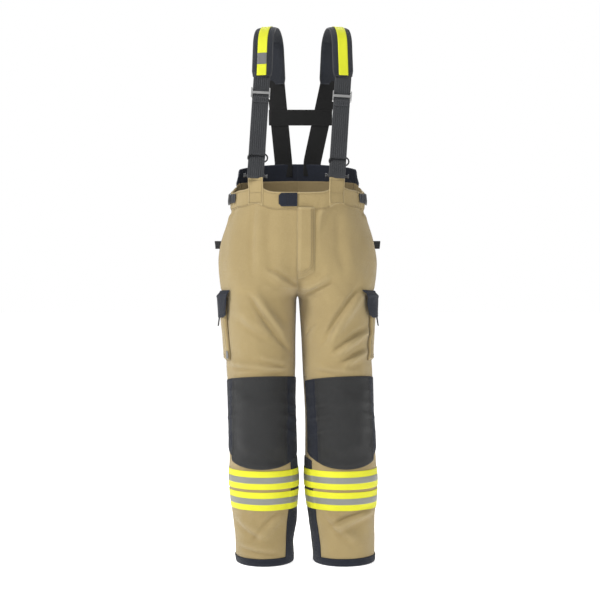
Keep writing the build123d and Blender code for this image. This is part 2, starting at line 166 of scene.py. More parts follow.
def maths(tree, kind, a, b=None):
    made = node(tree, "ShaderNodeMath", operation=kind)
    for socket, value in zip(made.inputs, (a, b)):
        if isinstance(value, (int, float)):
            socket.default_value = value
        elif value is not None:
            tree.links.new(value, socket)
    return made.outputs[0]


# two crossed sets of threads; place gives metres across and along the cloth
def weave(tree, place, warp, weft, wobble=0.15):
    split = node(tree, "ShaderNodeSeparateXYZ")
    tree.links.new(place, split.inputs[0])
    across = maths(tree, "SINE", maths(tree, "MULTIPLY", split.outputs[0], 2 * math.pi / warp))
    along = maths(tree, "SINE", maths(tree, "MULTIPLY", split.outputs[1], 2 * math.pi / weft))
    return maths(tree, "MULTIPLY", across, along), split


# a woven cloth from one dictionary: colour, threads, grid, mottling, sheen and wear
def clothMaterial(spec):
    mat, tree, shader = newMaterial(spec["name"], spec["roughness"], sheen=spec.get("sheen", 0.2),
                                    coat=spec.get("coat", 0.0), specular=spec.get("specular", 0.3))
    place = node(tree, "ShaderNodeTexCoord")
    uv, solid = place.outputs["UV"], place.outputs["Object"]
    threads, split = weave(tree, uv, *spec["threads"])
    blotch = node(tree, "ShaderNodeTexNoise",
                  {"Scale": spec.get("blotch", 9.0), "Detail": 5.0, "Roughness": 0.6})
    tree.links.new(solid, blotch.inputs["Vector"])
    fleck = node(tree, "ShaderNodeTexNoise", {"Scale": spec.get("fleck", 420.0), "Detail": 2.0})
    tree.links.new(solid, fleck.inputs["Vector"])
    dark, light = spec["dark"], spec["light"]
    colour = mixColour(tree, ramp(tree, blotch.outputs[0], 0.3, 0.7), dark, light)
    colour = mixColour(tree, ramp(tree, fleck.outputs[0], 0.35, 0.75, 0.0, spec.get("fleckShare", 0.35)),
                       dark, spec.get("fleckColour", light), colour)
    height = maths(tree, "MULTIPLY", threads, spec.get("threadHeight", 0.5))
    if spec.get("grid"):  # thicker threads at even steps, as in ripstop
        gridX = maths(tree, "PINGPONG", split.outputs[0], spec["grid"] / 2)
        gridZ = maths(tree, "PINGPONG", split.outputs[1], spec["grid"] / 2)
        line = maths(tree, "MAXIMUM", ramp(tree, gridX, spec["grid"] * 0.07, 0.0),
                     ramp(tree, gridZ, spec["grid"] * 0.07, 0.0))
        height = maths(tree, "ADD", height, maths(tree, "MULTIPLY", line, 0.8))
        colour = mixColour(tree, maths(tree, "MULTIPLY", line, 0.10), dark, spec["light"], colour)
    if spec.get("quilt"):  # sewn diamonds
        a = maths(tree, "PINGPONG", maths(tree, "ADD", split.outputs[0], split.outputs[1]),
                  spec["quilt"] / 2)
        b = maths(tree, "PINGPONG", maths(tree, "SUBTRACT", split.outputs[0], split.outputs[1]),
                  spec["quilt"] / 2)
        seam = maths(tree, "MINIMUM", a, b)
        height = maths(tree, "ADD", height,
                       maths(tree, "MULTIPLY", ramp(tree, seam, 0.0, spec["quilt"] * 0.2), 14.0))
    if spec.get("ribs"):  # ridges along a strap
        ribs = maths(tree, "SINE", maths(tree, "MULTIPLY", split.outputs[0], 2 * math.pi / spec["ribs"]))
        height = maths(tree, "ADD", height, maths(tree, "MULTIPLY", ribs, 1.2))
        colour = mixColour(tree, ramp(tree, ribs, 0.2, 1.0, 0.0, 0.3), dark, spec["light"], colour)
    if spec.get("hatch"):  # slanting gaps between printed segments
        slant = maths(tree, "ADD", split.outputs[0], split.outputs[1])
        gap = ramp(tree, maths(tree, "PINGPONG", slant, spec["hatch"] / 2), spec["hatch"] * 0.11,
                   spec["hatch"] * 0.03)
        colour = mixColour(tree, maths(tree, "MULTIPLY", gap, spec.get("hatchShare", 0.6)), dark,
                           spec["hatchColour"], colour)
        height = maths(tree, "SUBTRACT", height, gap)
    edge = node(tree, "ShaderNodeNewGeometry")
    worn = ramp(tree, edge.outputs["Pointiness"], 0.505, 0.56, 0.0, spec.get("wear", 0.35))
    colour = mixColour(tree, worn, dark, spec.get("wornColour", spec["light"]), colour)
    tree.links.new(colour, shader.inputs["Base Color"])
    rough = ramp(tree, blotch.outputs[0], 0.3, 0.7, spec["roughness"] - 0.06,
                 min(1.0, spec["roughness"] + 0.06))
    tree.links.new(rough, shader.inputs["Roughness"])
    crumple = node(tree, "ShaderNodeTexNoise",
                   {"Scale": spec.get("crumple", 38.0), "Detail": 4.0, "Roughness": 0.55})
    tree.links.new(solid, crumple.inputs["Vector"])
    height = maths(tree, "ADD", height,
                   maths(tree, "MULTIPLY", crumple.outputs[0], spec.get("crumpleHeight", 4.0)))
    bump = node(tree, "ShaderNodeBump", {"Strength": spec.get("bump", 0.5), "Distance": 0.0006})
    tree.links.new(height, bump.inputs["Height"])
    tree.links.new(bump.outputs[0], shader.inputs["Normal"])
    return mat


# drawn or lacquered metal with fine scratches and handling marks
def metalMaterial(spec):
    mat, tree, shader = newMaterial(spec["name"], spec["roughness"], metallic=spec["metallic"],
                                    coat=spec.get("coat", 0.0))
    place = node(tree, "ShaderNodeTexCoord")
    scratch = node(tree, "ShaderNodeTexNoise", {"Scale": 160.0, "Detail": 6.0, "Roughness": 0.7})
    stretch = node(tree, "ShaderNodeMapping", {"Scale": (0.15, 1.0, 2.5)})
    tree.links.new(place.outputs["Object"], stretch.inputs[0])
    tree.links.new(stretch.outputs[0], scratch.inputs["Vector"])
    edge = node(tree, "ShaderNodeNewGeometry")
    worn = ramp(tree, edge.outputs["Pointiness"], 0.52, 0.6, 0.0, 0.6)
    colour = mixColour(tree, ramp(tree, scratch.outputs[0], 0.3, 0.7), spec["dark"], spec["light"])
    colour = mixColour(tree, worn, spec["dark"], spec["worn"], colour)
    tree.links.new(colour, shader.inputs["Base Color"])
    rough = ramp(tree, scratch.outputs[0], 0.2, 0.8, spec["roughness"] - 0.08, spec["roughness"] + 0.12)
    tree.links.new(rough, shader.inputs["Roughness"])
    bump = node(tree, "ShaderNodeBump", {"Strength": 0.25, "Distance": 0.0002})
    tree.links.new(scratch.outputs[0], bump.inputs["Height"])
    tree.links.new(bump.outputs[0], shader.inputs["Normal"])
    return mat


tanCloth = clothMaterial({"name": "tanShellCloth", "dark": (0.288, 0.214, 0.094),
                          "light": (0.350, 0.264, 0.120),
    "fleckColour": (0.42, 0.325, 0.165), "threads": (0.0011, 0.0009), "grid": 0.0075, "roughness": 0.82,
    "sheen": 0.25, "wear": 0.3, "wornColour": (0.44, 0.36, 0.21), "bump": 0.55})
# darker tan for the waist facing; the same cloth is painted shade on the pockets' side walls
facingAndPocketShadeCloth = clothMaterial({"name": "tanFacingCloth", "dark": (0.205, 0.150, 0.070),
                             "light": (0.255, 0.190, 0.092),
    "threads": (0.0012, 0.0010), "roughness": 0.85, "sheen": 0.2, "bump": 0.5})
quiltCloth = clothMaterial({"name": "quiltedLining", "dark": (0.30, 0.24, 0.13),
                            "light": (0.38, 0.31, 0.18),
    "threads": (0.0010, 0.0010), "quilt": 0.045, "roughness": 0.88, "sheen": 0.3, "bump": 0.8})
navyCloth = clothMaterial({"name": "navyShellCloth", "dark": (0.0065, 0.008, 0.014),
                           "light": (0.011, 0.0135, 0.022),
    "fleckColour": (0.024, 0.029, 0.044), "threads": (0.0011, 0.0009), "grid": 0.0075, "roughness": 0.75,
    "sheen": 0.08, "specular": 0.22, "wear": 0.3, "wornColour": (0.035, 0.04, 0.056), "bump": 0.6})
coatedCloth = clothMaterial({"name": "coatedKneeCloth", "dark": (0.012, 0.0123, 0.0125),
                             "light": (0.019, 0.0194, 0.0196),
    "fleckColour": (0.036, 0.036, 0.037), "threads": (0.0016, 0.0016), "roughness": 0.58, "sheen": 0.04,
    "specular": 0.3, "wear": 0.4, "wornColour": (0.05, 0.05, 0.05), "bump": 0.6, "threadHeight": 0.7,
    "blotch": 14.0})
foam = clothMaterial({"name": "closedCellFoam", "dark": (0.02, 0.02, 0.02), "light": (0.035, 0.035, 0.035),
    "threads": (0.003, 0.003), "roughness": 0.8, "fleck": 900.0, "bump": 0.5})
limeTape = clothMaterial({"name": "limeTape", "dark": (0.66, 0.66, 0.014), "light": (0.76, 0.755, 0.03),
    "threads": (0.0009, 0.0009), "roughness": 0.6, "sheen": 0.1, "hatch": 0.0060, "hatchShare": 0.7,
    "hatchColour": (0.40, 0.38, 0.04), "wear": 0.15, "fleckShare": 0.1, "bump": 0.35, "crumpleHeight": 2.0})
silverTape = clothMaterial({"name": "silverTape", "dark": (0.185, 0.19, 0.165),
                            "light": (0.235, 0.24, 0.21),
    "threads": (0.0007, 0.0007), "roughness": 0.42, "sheen": 0.0, "specular": 0.7, "hatch": 0.0060,
    "hatchShare": 0.75, "hatchColour": (0.09, 0.092, 0.08), "wear": 0.2, "bump": 0.3, "crumpleHeight": 2.0})
padStripe = clothMaterial({"name": "limePadStripe", "dark": (0.52, 0.54, 0.010),
                           "light": (0.62, 0.64, 0.020),
    "threads": (0.0012, 0.0012), "roughness": 0.6, "sheen": 0.1, "fleckShare": 0.1, "bump": 0.4,
    "wear": 0.15})
blankLabel = clothMaterial({"name": "greyBlankLabel", "dark": (0.10, 0.10, 0.10),
                            "light": (0.14, 0.14, 0.14),
    "threads": (0.0008, 0.0008), "roughness": 0.5, "bump": 0.4})
webbing = clothMaterial({"name": "greyWebbing", "dark": (0.018, 0.019, 0.022),
                         "light": (0.028, 0.030, 0.033),
    "threads": (0.0028, 0.0011), "ribs": 0.0055, "roughness": 0.6, "sheen": 0.10, "bump": 0.8, "wear": 0.35,
    "wornColour": (0.07, 0.07, 0.075)})
elastic = clothMaterial({"name": "blackElastic", "dark": (0.008, 0.008, 0.008),
                         "light": (0.014, 0.014, 0.014),
    "threads": (0.0022, 0.0009), "ribs": 0.0022, "roughness": 0.8, "sheen": 0.08, "specular": 0.2,
    "bump": 0.8, "wear": 0.2})
padCloth = clothMaterial({"name": "navyPadMesh", "dark": (0.011, 0.013, 0.019),
                          "light": (0.019, 0.022, 0.030),
    "fleckColour": (0.035, 0.04, 0.052), "threads": (0.0024, 0.0024), "threadHeight": 1.4,
    "roughness": 0.78,
    "sheen": 0.12, "specular": 0.25, "bump": 0.9, "wear": 0.3, "wornColour": (0.05, 0.056, 0.07)})
tanThread = clothMaterial({"name": "tanThread", "dark": (0.17, 0.125, 0.055), "light": (0.21, 0.155, 0.075),
    "threads": (0.0006, 0.0006), "roughness": 0.7, "bump": 0.3})
darkThread = clothMaterial({"name": "navyThread", "dark": (0.010, 0.011, 0.016),
                            "light": (0.016, 0.018, 0.026),
    "threads": (0.0006, 0.0006), "roughness": 0.7, "bump": 0.3})
zipTape = clothMaterial({"name": "zipTape", "dark": (0.012, 0.012, 0.014), "light": (0.022, 0.022, 0.025),
    "threads": (0.0020, 0.0020), "roughness": 0.6, "bump": 0.9})
brightSteel = metalMaterial({"name": "brightSteel", "dark": (0.50, 0.50, 0.50), "light": (0.68, 0.68, 0.67),
    "worn": (0.82, 0.82, 0.82), "roughness": 0.3, "metallic": 1.0})
blackSteel = metalMaterial({"name": "blackSteel", "dark": (0.020, 0.020, 0.021),
                            "light": (0.034, 0.034, 0.035),
    "worn": (0.16, 0.16, 0.16), "roughness": 0.38, "metallic": 0.6, "coat": 0.3})
print("materials ready")


# smooth noise, the same every run
def lattice(cell, seed):
    mixed = np.sin(cell @ np.array([127.1, 311.7, 74.7]) + seed * 13.37) * 43758.5453
    return mixed - np.floor(mixed)


# values from -1 to 1 that change over about size, in metres (one number, or one for each axis)
def smoothNoise(points, size, seed):
    scaled = points / np.asarray(size, float)
    cell = np.floor(scaled)
    part = scaled - cell
    part = part * part * (3 - 2 * part)
    total = 0
    for dx in (0, 1):
        for dy in (0, 1):
            for dz in (0, 1):
                share = (part[..., 0] if dx else 1 - part[..., 0])
                share = share * (part[..., 1] if dy else 1 - part[..., 1])
                share = share * (part[..., 2] if dz else 1 - part[..., 2])
                total = total + share * lattice(cell + np.array([dx, dy, dz]), seed)
    return 2 * total - 1


def unit(way):
    return way / np.linalg.norm(way)


def lengthsAlong(points):
    return np.concatenate([[0], np.cumsum(np.linalg.norm(np.diff(points, axis=0), axis=1))])


def gridFaces(rows, cols):
    return [(r * cols + c, r * cols + c + 1, (r + 1) * cols + c + 1, (r + 1) * cols + c)
            for r in range(rows - 1) for c in range(cols - 1)]


def ease(low, high, value):
    t = np.clip((value - low) / (high - low), 0, 1)
    return t * t * (3 - 2 * t)


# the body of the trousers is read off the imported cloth, row by row
def nodeTree(names):
    verts, faces = [], []
    for name in names:
        mesh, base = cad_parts[name].data, len(verts)
        verts += [v.co.copy() for v in mesh.vertices]
        faces += [tuple(base + i for i in face.vertices) for face in mesh.polygons]
    return BVHTree.FromPolygons(verts, faces)


def firstHit(tree, start, way):
    place = tree.ray_cast(Vector(start), Vector(way))[0]
    return None if place is None else np.array(place)


# one row of points from the front middle (or the inside seam) round the outside and back again
def legRow(tree, sign, z, joined):
    near = sign * 0.0006
    if joined:
        front, back = firstHit(tree, (near, -0.6, z), (0, 1, 0)), firstHit(tree, (near, 0.6, z), (0, -1, 0))
        centre = sign * 0.105 * (1 - float(ease(0.737, 0.90, z)))
    else:
        front = back = firstHit(tree, (near, 0, z), (sign, 0, 0))
        outer = firstHit(tree, (sign * 0.6, 0, z), (-sign, 0, 0))
        centre = (front[0] + outer[0]) / 2
    low = math.atan2(front[1], sign * (front[0] - centre))
    high = math.atan2(back[1], sign * (back[0] - centre))
    if not joined:
        low, high = -math.pi, math.pi
    points = [front]
    for angle in np.linspace(low, high, 220)[1:-1]:
        way = np.array([sign * math.cos(angle), math.sin(angle), 0])
        found = firstHit(tree, np.array([centre, 0, z]) + 0.5 * way, -way)
        if found is not None:
            points.append(found)
    points.append(back)
    points = np.array(points)
    if joined:
        points[0, 0] = points[-1, 0] = 0
    run = lengthsAlong(points)
    even = np.linspace(0, run[-1], columns + 1)
    row = np.stack([np.interp(even, run, points[:, k]) for k in range(3)], axis=1)
    row[:, 2] = z
    return row


waistline = {"middle": 1.039, "tilt": 0.1659}   # the waist edge: height at the side, rise towards the back
crotch = 0.7375
lastRow = 1.008


# height of the waist edge: a leaning plane, drawn up where the braces pull and lower over the hips
def rimHeight(place):
    x, y = np.abs(place[..., 0]), place[..., 1]
    pulled = 0.015 * np.exp(-((x - 0.112) / 0.026) ** 2) * ease(-0.02, -0.06, y)
    sunk = 0.010 * np.exp(-((x - 0.184) / 0.016) ** 2) * ease(0.05, 0.01, y)
    return waistline["middle"] + waistline["tilt"] * y + pulled - sunk


def smoothRows(grid, amount):
    kernel = np.exp(-0.5 * (np.arange(-9, 10) / amount) ** 2)
    kernel /= kernel.sum()
    padded = np.concatenate([np.repeat(grid[:1], 9, 0), grid, np.repeat(grid[-1:], 9, 0)])
    return sum(k * padded[i:i + len(grid)] for i, k in enumerate(kernel))


def normalsOf(grid, sign):
    alongRow = np.gradient(grid, axis=1)
    closed = np.linalg.norm(grid[:, 0] - grid[:, -1], axis=1) < 1e-5
    wrap = grid[closed, 1] - grid[closed, -2]
    alongRow[closed, 0] = wrap
    alongRow[closed, -1] = wrap
    upRow = np.gradient(grid, axis=0)
    normal = np.cross(alongRow, upRow) * sign
    return normal / np.maximum(np.linalg.norm(normal, axis=2, keepdims=True), 1e-9)


# folds that stand out: from and to (x, z), how wide and how deep, in metres, on the front or the back
folds = [
    {"from": (-0.112, 0.742), "to": (-0.010, 0.606), "wide": 0.013, "deep": 0.0060, "face": "front"},
    {"from": (-0.150, 0.690), "to": (-0.070, 0.640), "wide": 0.018, "deep": 0.0035, "face": "front"},
    {"from": (-0.178, 0.556), "to": (-0.060, 0.549), "wide": 0.010, "deep": 0.0045, "face": "front"},
    {"from": (-0.165, 0.534), "to": (-0.030, 0.545), "wide": 0.008, "deep": 0.0040, "face": "front"},
    {"from": (-0.100, 0.572), "to": (-0.018, 0.560), "wide": 0.010, "deep": 0.0035, "face": "front"},
    {"from": (0.176, 0.744), "to": (0.088, 0.612), "wide": 0.013, "deep": 0.0058, "face": "front"},
    {"from": (0.192, 0.640), "to": (0.108, 0.580), "wide": 0.010, "deep": 0.0050, "face": "front"},
    {"from": (0.188, 0.585), "to": (0.126, 0.548), "wide": 0.009, "deep": 0.0040, "face": "front"},
    {"from": (0.052, 0.655), "to": (0.028, 0.622), "wide": 0.007, "deep": 0.0030, "face": "front"},
    {"from": (0.060, 0.545), "to": (0.150, 0.535), "wide": 0.010, "deep": 0.0030, "face": "front"},
    {"from": (-0.095, 0.985), "to": (-0.100, 0.790), "wide": 0.016, "deep": 0.0022, "face": "front"},
    {"from": (-0.050, 0.960), "to": (-0.036, 0.760), "wide": 0.020, "deep": 0.0012, "face": "front"},
    {"from": (0.080, 1.000), "to": (0.046, 0.905), "wide": 0.012, "deep": 0.0026, "face": "front"},
    {"from": (0.135, 0.970), "to": (0.150, 0.800), "wide": 0.020, "deep": 0.0016, "face": "front"},
    {"from": (-0.160, 0.960), "to": (-0.185, 0.800), "wide": 0.020, "deep": 0.0014, "face": "front"},
    {"from": (-0.004, 0.752), "to": (-0.080, 0.800), "wide": 0.010, "deep": 0.0035, "face": "front"},
    {"from": (0.004, 0.752), "to": (0.085, 0.790), "wide": 0.010, "deep": 0.0035, "face": "front"},
    {"from": (0.206, 0.150), "to": (0.104, 0.104), "wide": 0.010, "deep": 0.0055, "face": "front"},
    {"from": (0.090, 0.140), "to": (0.160, 0.070), "wide": 0.013, "deep": 0.0030, "face": "front"},
    {"from": (-0.160, 0.130), "to": (-0.090, 0.085), "wide": 0.014, "deep": 0.0035, "face": "front"},
    {"from": (-0.040, 0.140), "to": (-0.110, 0.060), "wide": 0.012, "deep": 0.0030, "face": "front"},
    {"from": (-0.150, 0.060), "to": (-0.060, 0.045), "wide": 0.010, "deep": 0.0028, "face": "front"},
    {"from": (-0.190, 0.288), "to": (-0.050, 0.276), "wide": 0.010, "deep": 0.0025, "face": "front"},
    {"from": (0.060, 0.282), "to": (0.200, 0.290), "wide": 0.010, "deep": 0.0025, "face": "front"},
    {"from": (-0.180, 0.470), "to": (-0.020, 0.452), "wide": 0.011, "deep": 0.0070, "face": "back"},
    {"from": (-0.170, 0.425), "to": (-0.030, 0.432), "wide": 0.011, "deep": 0.0075, "face": "back"},
    {"from": (-0.180, 0.385), "to": (-0.020, 0.400), "wide": 0.011, "deep": 0.0065, "face": "back"},
    {"from": (-0.150, 0.345), "to": (-0.040, 0.352), "wide": 0.012, "deep": 0.0045, "face": "back"},
    {"from": (0.030, 0.462), "to": (0.195, 0.475), "wide": 0.011, "deep": 0.0070, "face": "back"},
    {"from": (0.040, 0.430), "to": (0.190, 0.422), "wide": 0.011, "deep": 0.0075, "face": "back"},
    {"from": (0.030, 0.398), "to": (0.190, 0.388), "wide": 0.011, "deep": 0.0065, "face": "back"},
    {"from": (0.050, 0.350), "to": (0.180, 0.345), "wide": 0.012, "deep": 0.0045, "face": "back"},
    {"from": (-0.150, 0.745), "to": (-0.015, 0.715), "wide": 0.015, "deep": 0.0060, "face": "back"},
    {"from": (0.150, 0.745), "to": (0.015, 0.715), "wide": 0.015, "deep": 0.0060, "face": "back"},
    {"from": (-0.120, 0.680), "to": (-0.020, 0.640), "wide": 0.016, "deep": 0.0045, "face": "back"},
    {"from": (0.130, 0.690), "to": (0.030, 0.650), "wide": 0.016, "deep": 0.0045, "face": "back"},
    {"from": (-0.140, 0.900), "to": (-0.030, 0.800), "wide": 0.020, "deep": 0.0035, "face": "back"},
    {"from": (0.140, 0.900), "to": (0.030, 0.800), "wide": 0.020, "deep": 0.0035, "face": "back"},
    {"from": (-0.150, 0.160), "to": (-0.050, 0.090), "wide": 0.014, "deep": 0.0040, "face": "back"},
    {"from": (0.170, 0.170), "to": (0.080, 0.100), "wide": 0.014, "deep": 0.0040, "face": "back"},
]


def foldDepth(points, normal):
    x, z = points[..., 0], points[..., 2]
    total = np.zeros(x.shape)
    faceShare = {"front": ease(0.05, 0.55, -normal[..., 1]), "back": 0.6 * ease(0.25, 0.75, normal[..., 1])}
    for fold in folds:
        (x0, z0), (x1, z1) = fold["from"], fold["to"]
        dx, dz = x1 - x0, z1 - z0
        length = math.hypot(dx, dz)
        t = ((x - x0) * dx + (z - z0) * dz) / length ** 2
        bow = 0.10 * length * (0.25 - (np.clip(t, 0, 1) - 0.5) ** 2)
        s = ((x - x0) * -dz + (z - z0) * dx) / length + bow
        wide = fold["wide"]
        over = np.maximum(0, np.maximum(-t, t - 1)) * length
        taper = np.exp(-(over / (1.2 * wide)) ** 2) * (0.35 + 0.65 * np.clip(4 * t * (1 - t), 0, 1) ** 0.5)
        shape = np.exp(-(s / wide) ** 2) - 0.85 * np.exp(-((s + 1.35 * wide) / (0.60 * wide)) ** 2)
        shape = shape - 0.25 * np.exp(-((s - 1.9 * wide) / (1.3 * wide)) ** 2)
        total += fold["deep"] * shape * taper * faceShare[fold["face"]]
    return 1.9 * total


# how far the cloth stands off the pattern: folds, soft drape, and calm where something is sewn on
def clothDepth(points, normal):
    x, y, z = points[..., 0], points[..., 1], points[..., 2]
    drape = 0.0030 * smoothNoise(points, (0.075, 0.10, 0.19), 3)
    drape = drape + 0.0022 * smoothNoise(points + 0.03 * z[..., None], (0.045, 0.05, 0.06), 7)
    drape = drape + 0.0007 * smoothNoise(points, (0.020, 0.022, 0.026), 11)
    loose = 0.35 + 0.65 * ease(0.95, 0.80, z)
    total = drape * loose + foldDepth(points, normal)
    behindPatch = ease(0.545, 0.515, z) * ease(0.262, 0.290, z) * ease(-0.15, 0.25, -normal[..., 1])
    total = total * (1 - 0.75 * behindPatch)
    underTape = ease(0.280, 0.266, z) * ease(0.138, 0.152, z)
    total = total * (1 - 0.6 * underTape)
    underFly = ease(0.062, 0.048, x) * ease(-0.02, -0.004, x) * ease(0.772, 0.79, z)
    underFly = underFly * ease(0.3, 0.6, -normal[..., 1])
    total = total * (1 - underFly)
    seamCalm = 1 - 0.6 * ease(0.020, 0.0, z)
    total = total * seamCalm
    # waistband: a slightly thicker strip above its seam, gathered over the hips
    belowRim = rimHeight(points) - z
    band = ease(0.050, 0.047, belowRim)
    total = total * (1 - 0.7 * band) + 0.0012 * band - 0.0012 * np.exp(-((belowRim - 0.049) / 0.0025) ** 2)
    gathered = ease(0.75, 0.95, np.abs(normal[..., 0])) * ease(0.10, 0.055, belowRim)
    around = y / 0.0095
    total = total + gathered * (0.0018 * np.sin(2 * math.pi * around)
                                + 0.0035 * np.exp(-((belowRim - 0.026) / 0.016) ** 2)
                                - 0.004 * np.exp(-((belowRim - 0.056) / 0.008) ** 2))
    return total


def makeLeg(side):
    sign = sides[side]
    tree = nodeTree([f"{side}_{part}"
                     for part in ("seat_front", "seat_back", "hip_fold", "thigh", "knee_fold", "shin")])
    heights = np.concatenate([np.arange(0.0035, 0.732, rowStep), np.arange(0.732, 0.760, 0.002),
                              np.arange(0.760, lastRow, rowStep), [lastRow, 1.04, 1.075, 1.11, 1.14]])
    rows = []
    for z in heights:
        row = legRow(tree, sign, min(z, lastRow), z > crotch)
        row[:, 2] = z
        rows.append(row)
    plain = np.array(rows)
    joined = heights > crotch
    grid = smoothRows(plain, 2.6)
    grid[:, :, 2] = heights[:, None]

    def pin(grid):
        grid[joined, 0, 0] = grid[joined, -1, 0] = 0
        middle = (grid[~joined, 0] + grid[~joined, -1]) / 2
        grid[~joined, 0] = grid[~joined, -1] = middle
        return grid

    grid = pin(grid)
    normal = normalsOf(grid, sign)
    girth = np.linalg.norm(np.diff(grid, axis=1), axis=2).sum(1)
    near = np.abs(heights - crotch)
    calm = 1 - 0.9 * np.exp(-(near / 0.03) ** 2)[:, None] * ease(0.035, 0.0, np.abs(grid[..., 0]))
    depth = clothDepth(grid, normal) * calm
    # stay clear of the other leg
    inside = ease(0.5, 0.9, -sign * normal[..., 0]) * ease(0.40, 0.60, heights)[:, None]
    depth = np.where(depth > 0, depth * (1 - 0.9 * inside), depth)
    grid = pin(grid + normal * depth[..., None])
    normal = normalsOf(grid, sign)
    return {"grid": grid, "normal": normal, "z": heights, "girth": girth, "sign": sign}


legs = {side: makeLeg(side) for side in sides}
print("cloth rows ready")


# points on the trousers: column from 0 to columns, height and how far outside the cloth
def onSkin(side, column, z, lift=0.0):
    leg = legs[side]
    column, z = np.broadcast_arrays(np.asarray(column, float), np.asarray(z, float))
    column = np.where(z < 0.73, np.mod(column, columns), np.clip(column, 0, columns))
    row = np.interp(z, leg["z"], np.arange(len(leg["z"])))
    r0 = np.clip(np.floor(row).astype(int), 0, len(leg["z"]) - 2)
    c0 = np.clip(np.floor(column).astype(int), 0, columns - 1)
    fr, fc = (row - r0)[..., None], (column - c0)[..., None]
    found = []
    for grid in (leg["grid"], leg["normal"]):
        low = grid[r0, c0] * (1 - fc) + grid[r0, c0 + 1] * fc
        high = grid[r0 + 1, c0] * (1 - fc) + grid[r0 + 1, c0 + 1] * fc
        found.append(low * (1 - fr) + high * fr)
    point, normal = found
    normal = normal / np.maximum(np.linalg.norm(normal, axis=-1, keepdims=True), 1e-9)
    return point + normal * np.asarray(lift, float)[..., None] * np.ones_like(point), normal


def girthAt(side, z):
    return np.interp(z, legs[side]["z"], legs[side]["girth"])


# column that lies s metres forward of the outside seam
def fromOutside(side, s, z):
    return columns * (0.5 - np.asarray(s) / girthAt(side, z))


# column that lies s metres round from the front middle, or from the inside seam
def fromFront(side, s, z):
    return columns * np.asarray(s) / girthAt(side, z)


def meshPiece(name, verts, faces, uv, materials, faceSlots=None):
    mesh = bpy.data.meshes.new(name)
    mesh.from_pydata([tuple(v) for v in verts], [], faces)
    layer = mesh.uv_layers.new(name="cloth")
    index = np.zeros(len(mesh.loops), int)
    mesh.loops.foreach_get("vertex_index", index)
    layer.data.foreach_set("uv", np.asarray(uv, np.float32)[index].ravel())
    for mat in materials:
        mesh.materials.append(mat)
    if faceSlots is not None:
        mesh.polygons.foreach_set("material_index", np.asarray(faceSlots, np.int32))
    shape = bmesh.new()
    shape.from_mesh(mesh)
    bmesh.ops.remove_doubles(shape, verts=shape.verts, dist=1e-6)
    bmesh.ops.recalc_face_normals(shape, faces=shape.faces)
    shape.to_mesh(mesh)
    shape.free()
    mesh.shade_smooth()
    piece = bpy.data.objects.new(name, mesh)
    scene.collection.objects.link(piece)
    return piece


def gridUv(points):
    across = np.zeros(points.shape[:2])
    across[:, 1:] = np.cumsum(np.linalg.norm(np.diff(points, axis=1), axis=2), axis=1)
    along = np.zeros(points.shape[:2])
    along[1:] = np.cumsum(np.linalg.norm(np.diff(points, axis=0), axis=2), axis=0)
    return np.stack([across, along], axis=2)


# a sheet of real thickness from a grid of points, with rounded edges. slotOf gives each face its material
def clothSheet(name, outer, normal, thick, materials, ring=False, slotOf=None):
    rows, cols = outer.shape[:2]
    thick = np.broadcast_to(np.asarray(thick, float), (rows, cols))[..., None]
    inner = outer - normal * thick
    uv = gridUv(outer)
    verts = [outer.reshape(-1, 3), inner.reshape(-1, 3)]
    uvs = [uv.reshape(-1, 2), uv.reshape(-1, 2)]
    offset = rows * cols
    faces, slots = [], []
    for r in range(rows - 1):
        for c in range(cols - 1):
            a = r * cols + c
            slot = 0 if slotOf is None else slotOf(r, c)
            faces.append((a, a + 1, a + cols + 1, a + cols))
            faces.append((offset + a, offset + a + cols, offset + a + cols + 1, offset + a + 1))
            slots += [slot, slot]
    bottom, top = [(0, c) for c in range(cols)], [(rows - 1, c) for c in range(cols)]
    if ring:
        loops = [(bottom, 1), (top, rows - 2)]
    else:
        around = bottom + [(r, cols - 1) for r in range(1, rows)] + top[-2::-1] + [(r, 0)
                for r in range(rows - 2, 0, -1)]
        loops = [(around + around[:1], None)]
    count = 2 * offset
    for loop, inside in loops:
        edge = []
        for r, c in loop:
            r2 = inside if inside is not None else min(max(r, 1), rows - 2)
            c2 = c if inside is not None else min(max(c, 1), cols - 2)
            away = outer[r, c] - outer[r2, c2]
            away = away / max(np.linalg.norm(away), 1e-9)
            edge.append((outer[r, c] + inner[r, c]) / 2 + away * thick[r, c] * 0.35)
        verts.append(np.array(edge))
        uvs.append(np.array([uv[r, c] for r, c in loop]))
        for k in range(len(loop) - 1):
            (r0, c0), (r1, c1) = loop[k], loop[k + 1]
            slot = 0 if slotOf is None else slotOf(min(r0, r1, rows - 2), min(c0, c1, cols - 2))
            a, b = r0 * cols + c0, r1 * cols + c1
            faces.append((a, b, count + k + 1, count + k))
            faces.append((count + k, count + k + 1, offset + b, offset + a))
            slots += [slot, slot]
        count += len(loop)
    return meshPiece(name, np.concatenate(verts), faces, np.concatenate(uvs), materials, slots)


def skinSheet(name, side, column, z, lift, thick, materials, ring=False, slotOf=None):
    points, normal = onSkin(side, column, z, lift)
    return clothSheet(name, points, normal, thick, materials, ring, slotOf)


# a flat strap along points, its width along across; points are close together where it bends
def ribbon(name, points, across, wide, thick, material, slotName, replaces=None):
    points = np.asarray(points, float)
    across = np.broadcast_to(np.asarray(across, float), points.shape)
    way = np.gradient(points, axis=0)
    normal = np.cross(way, across)
    normal = normal / np.linalg.norm(normal, axis=1, keepdims=True)
    steps = np.linspace(-wide / 2, wide / 2, 13)
    crown = 0.0002 * (1 - (2 * steps / wide) ** 2)
    grid = points[:, None] + across[:, None] * steps[None, :, None] + normal[:, None] * (crown
            + thick / 2)[None, :, None]
    piece = clothSheet(name, grid, np.repeat(normal[:, None], len(steps), 1), thick, [material])
    if replaces:
        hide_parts(replaces)
    dress(piece, slotName, "trousers")
    return piece


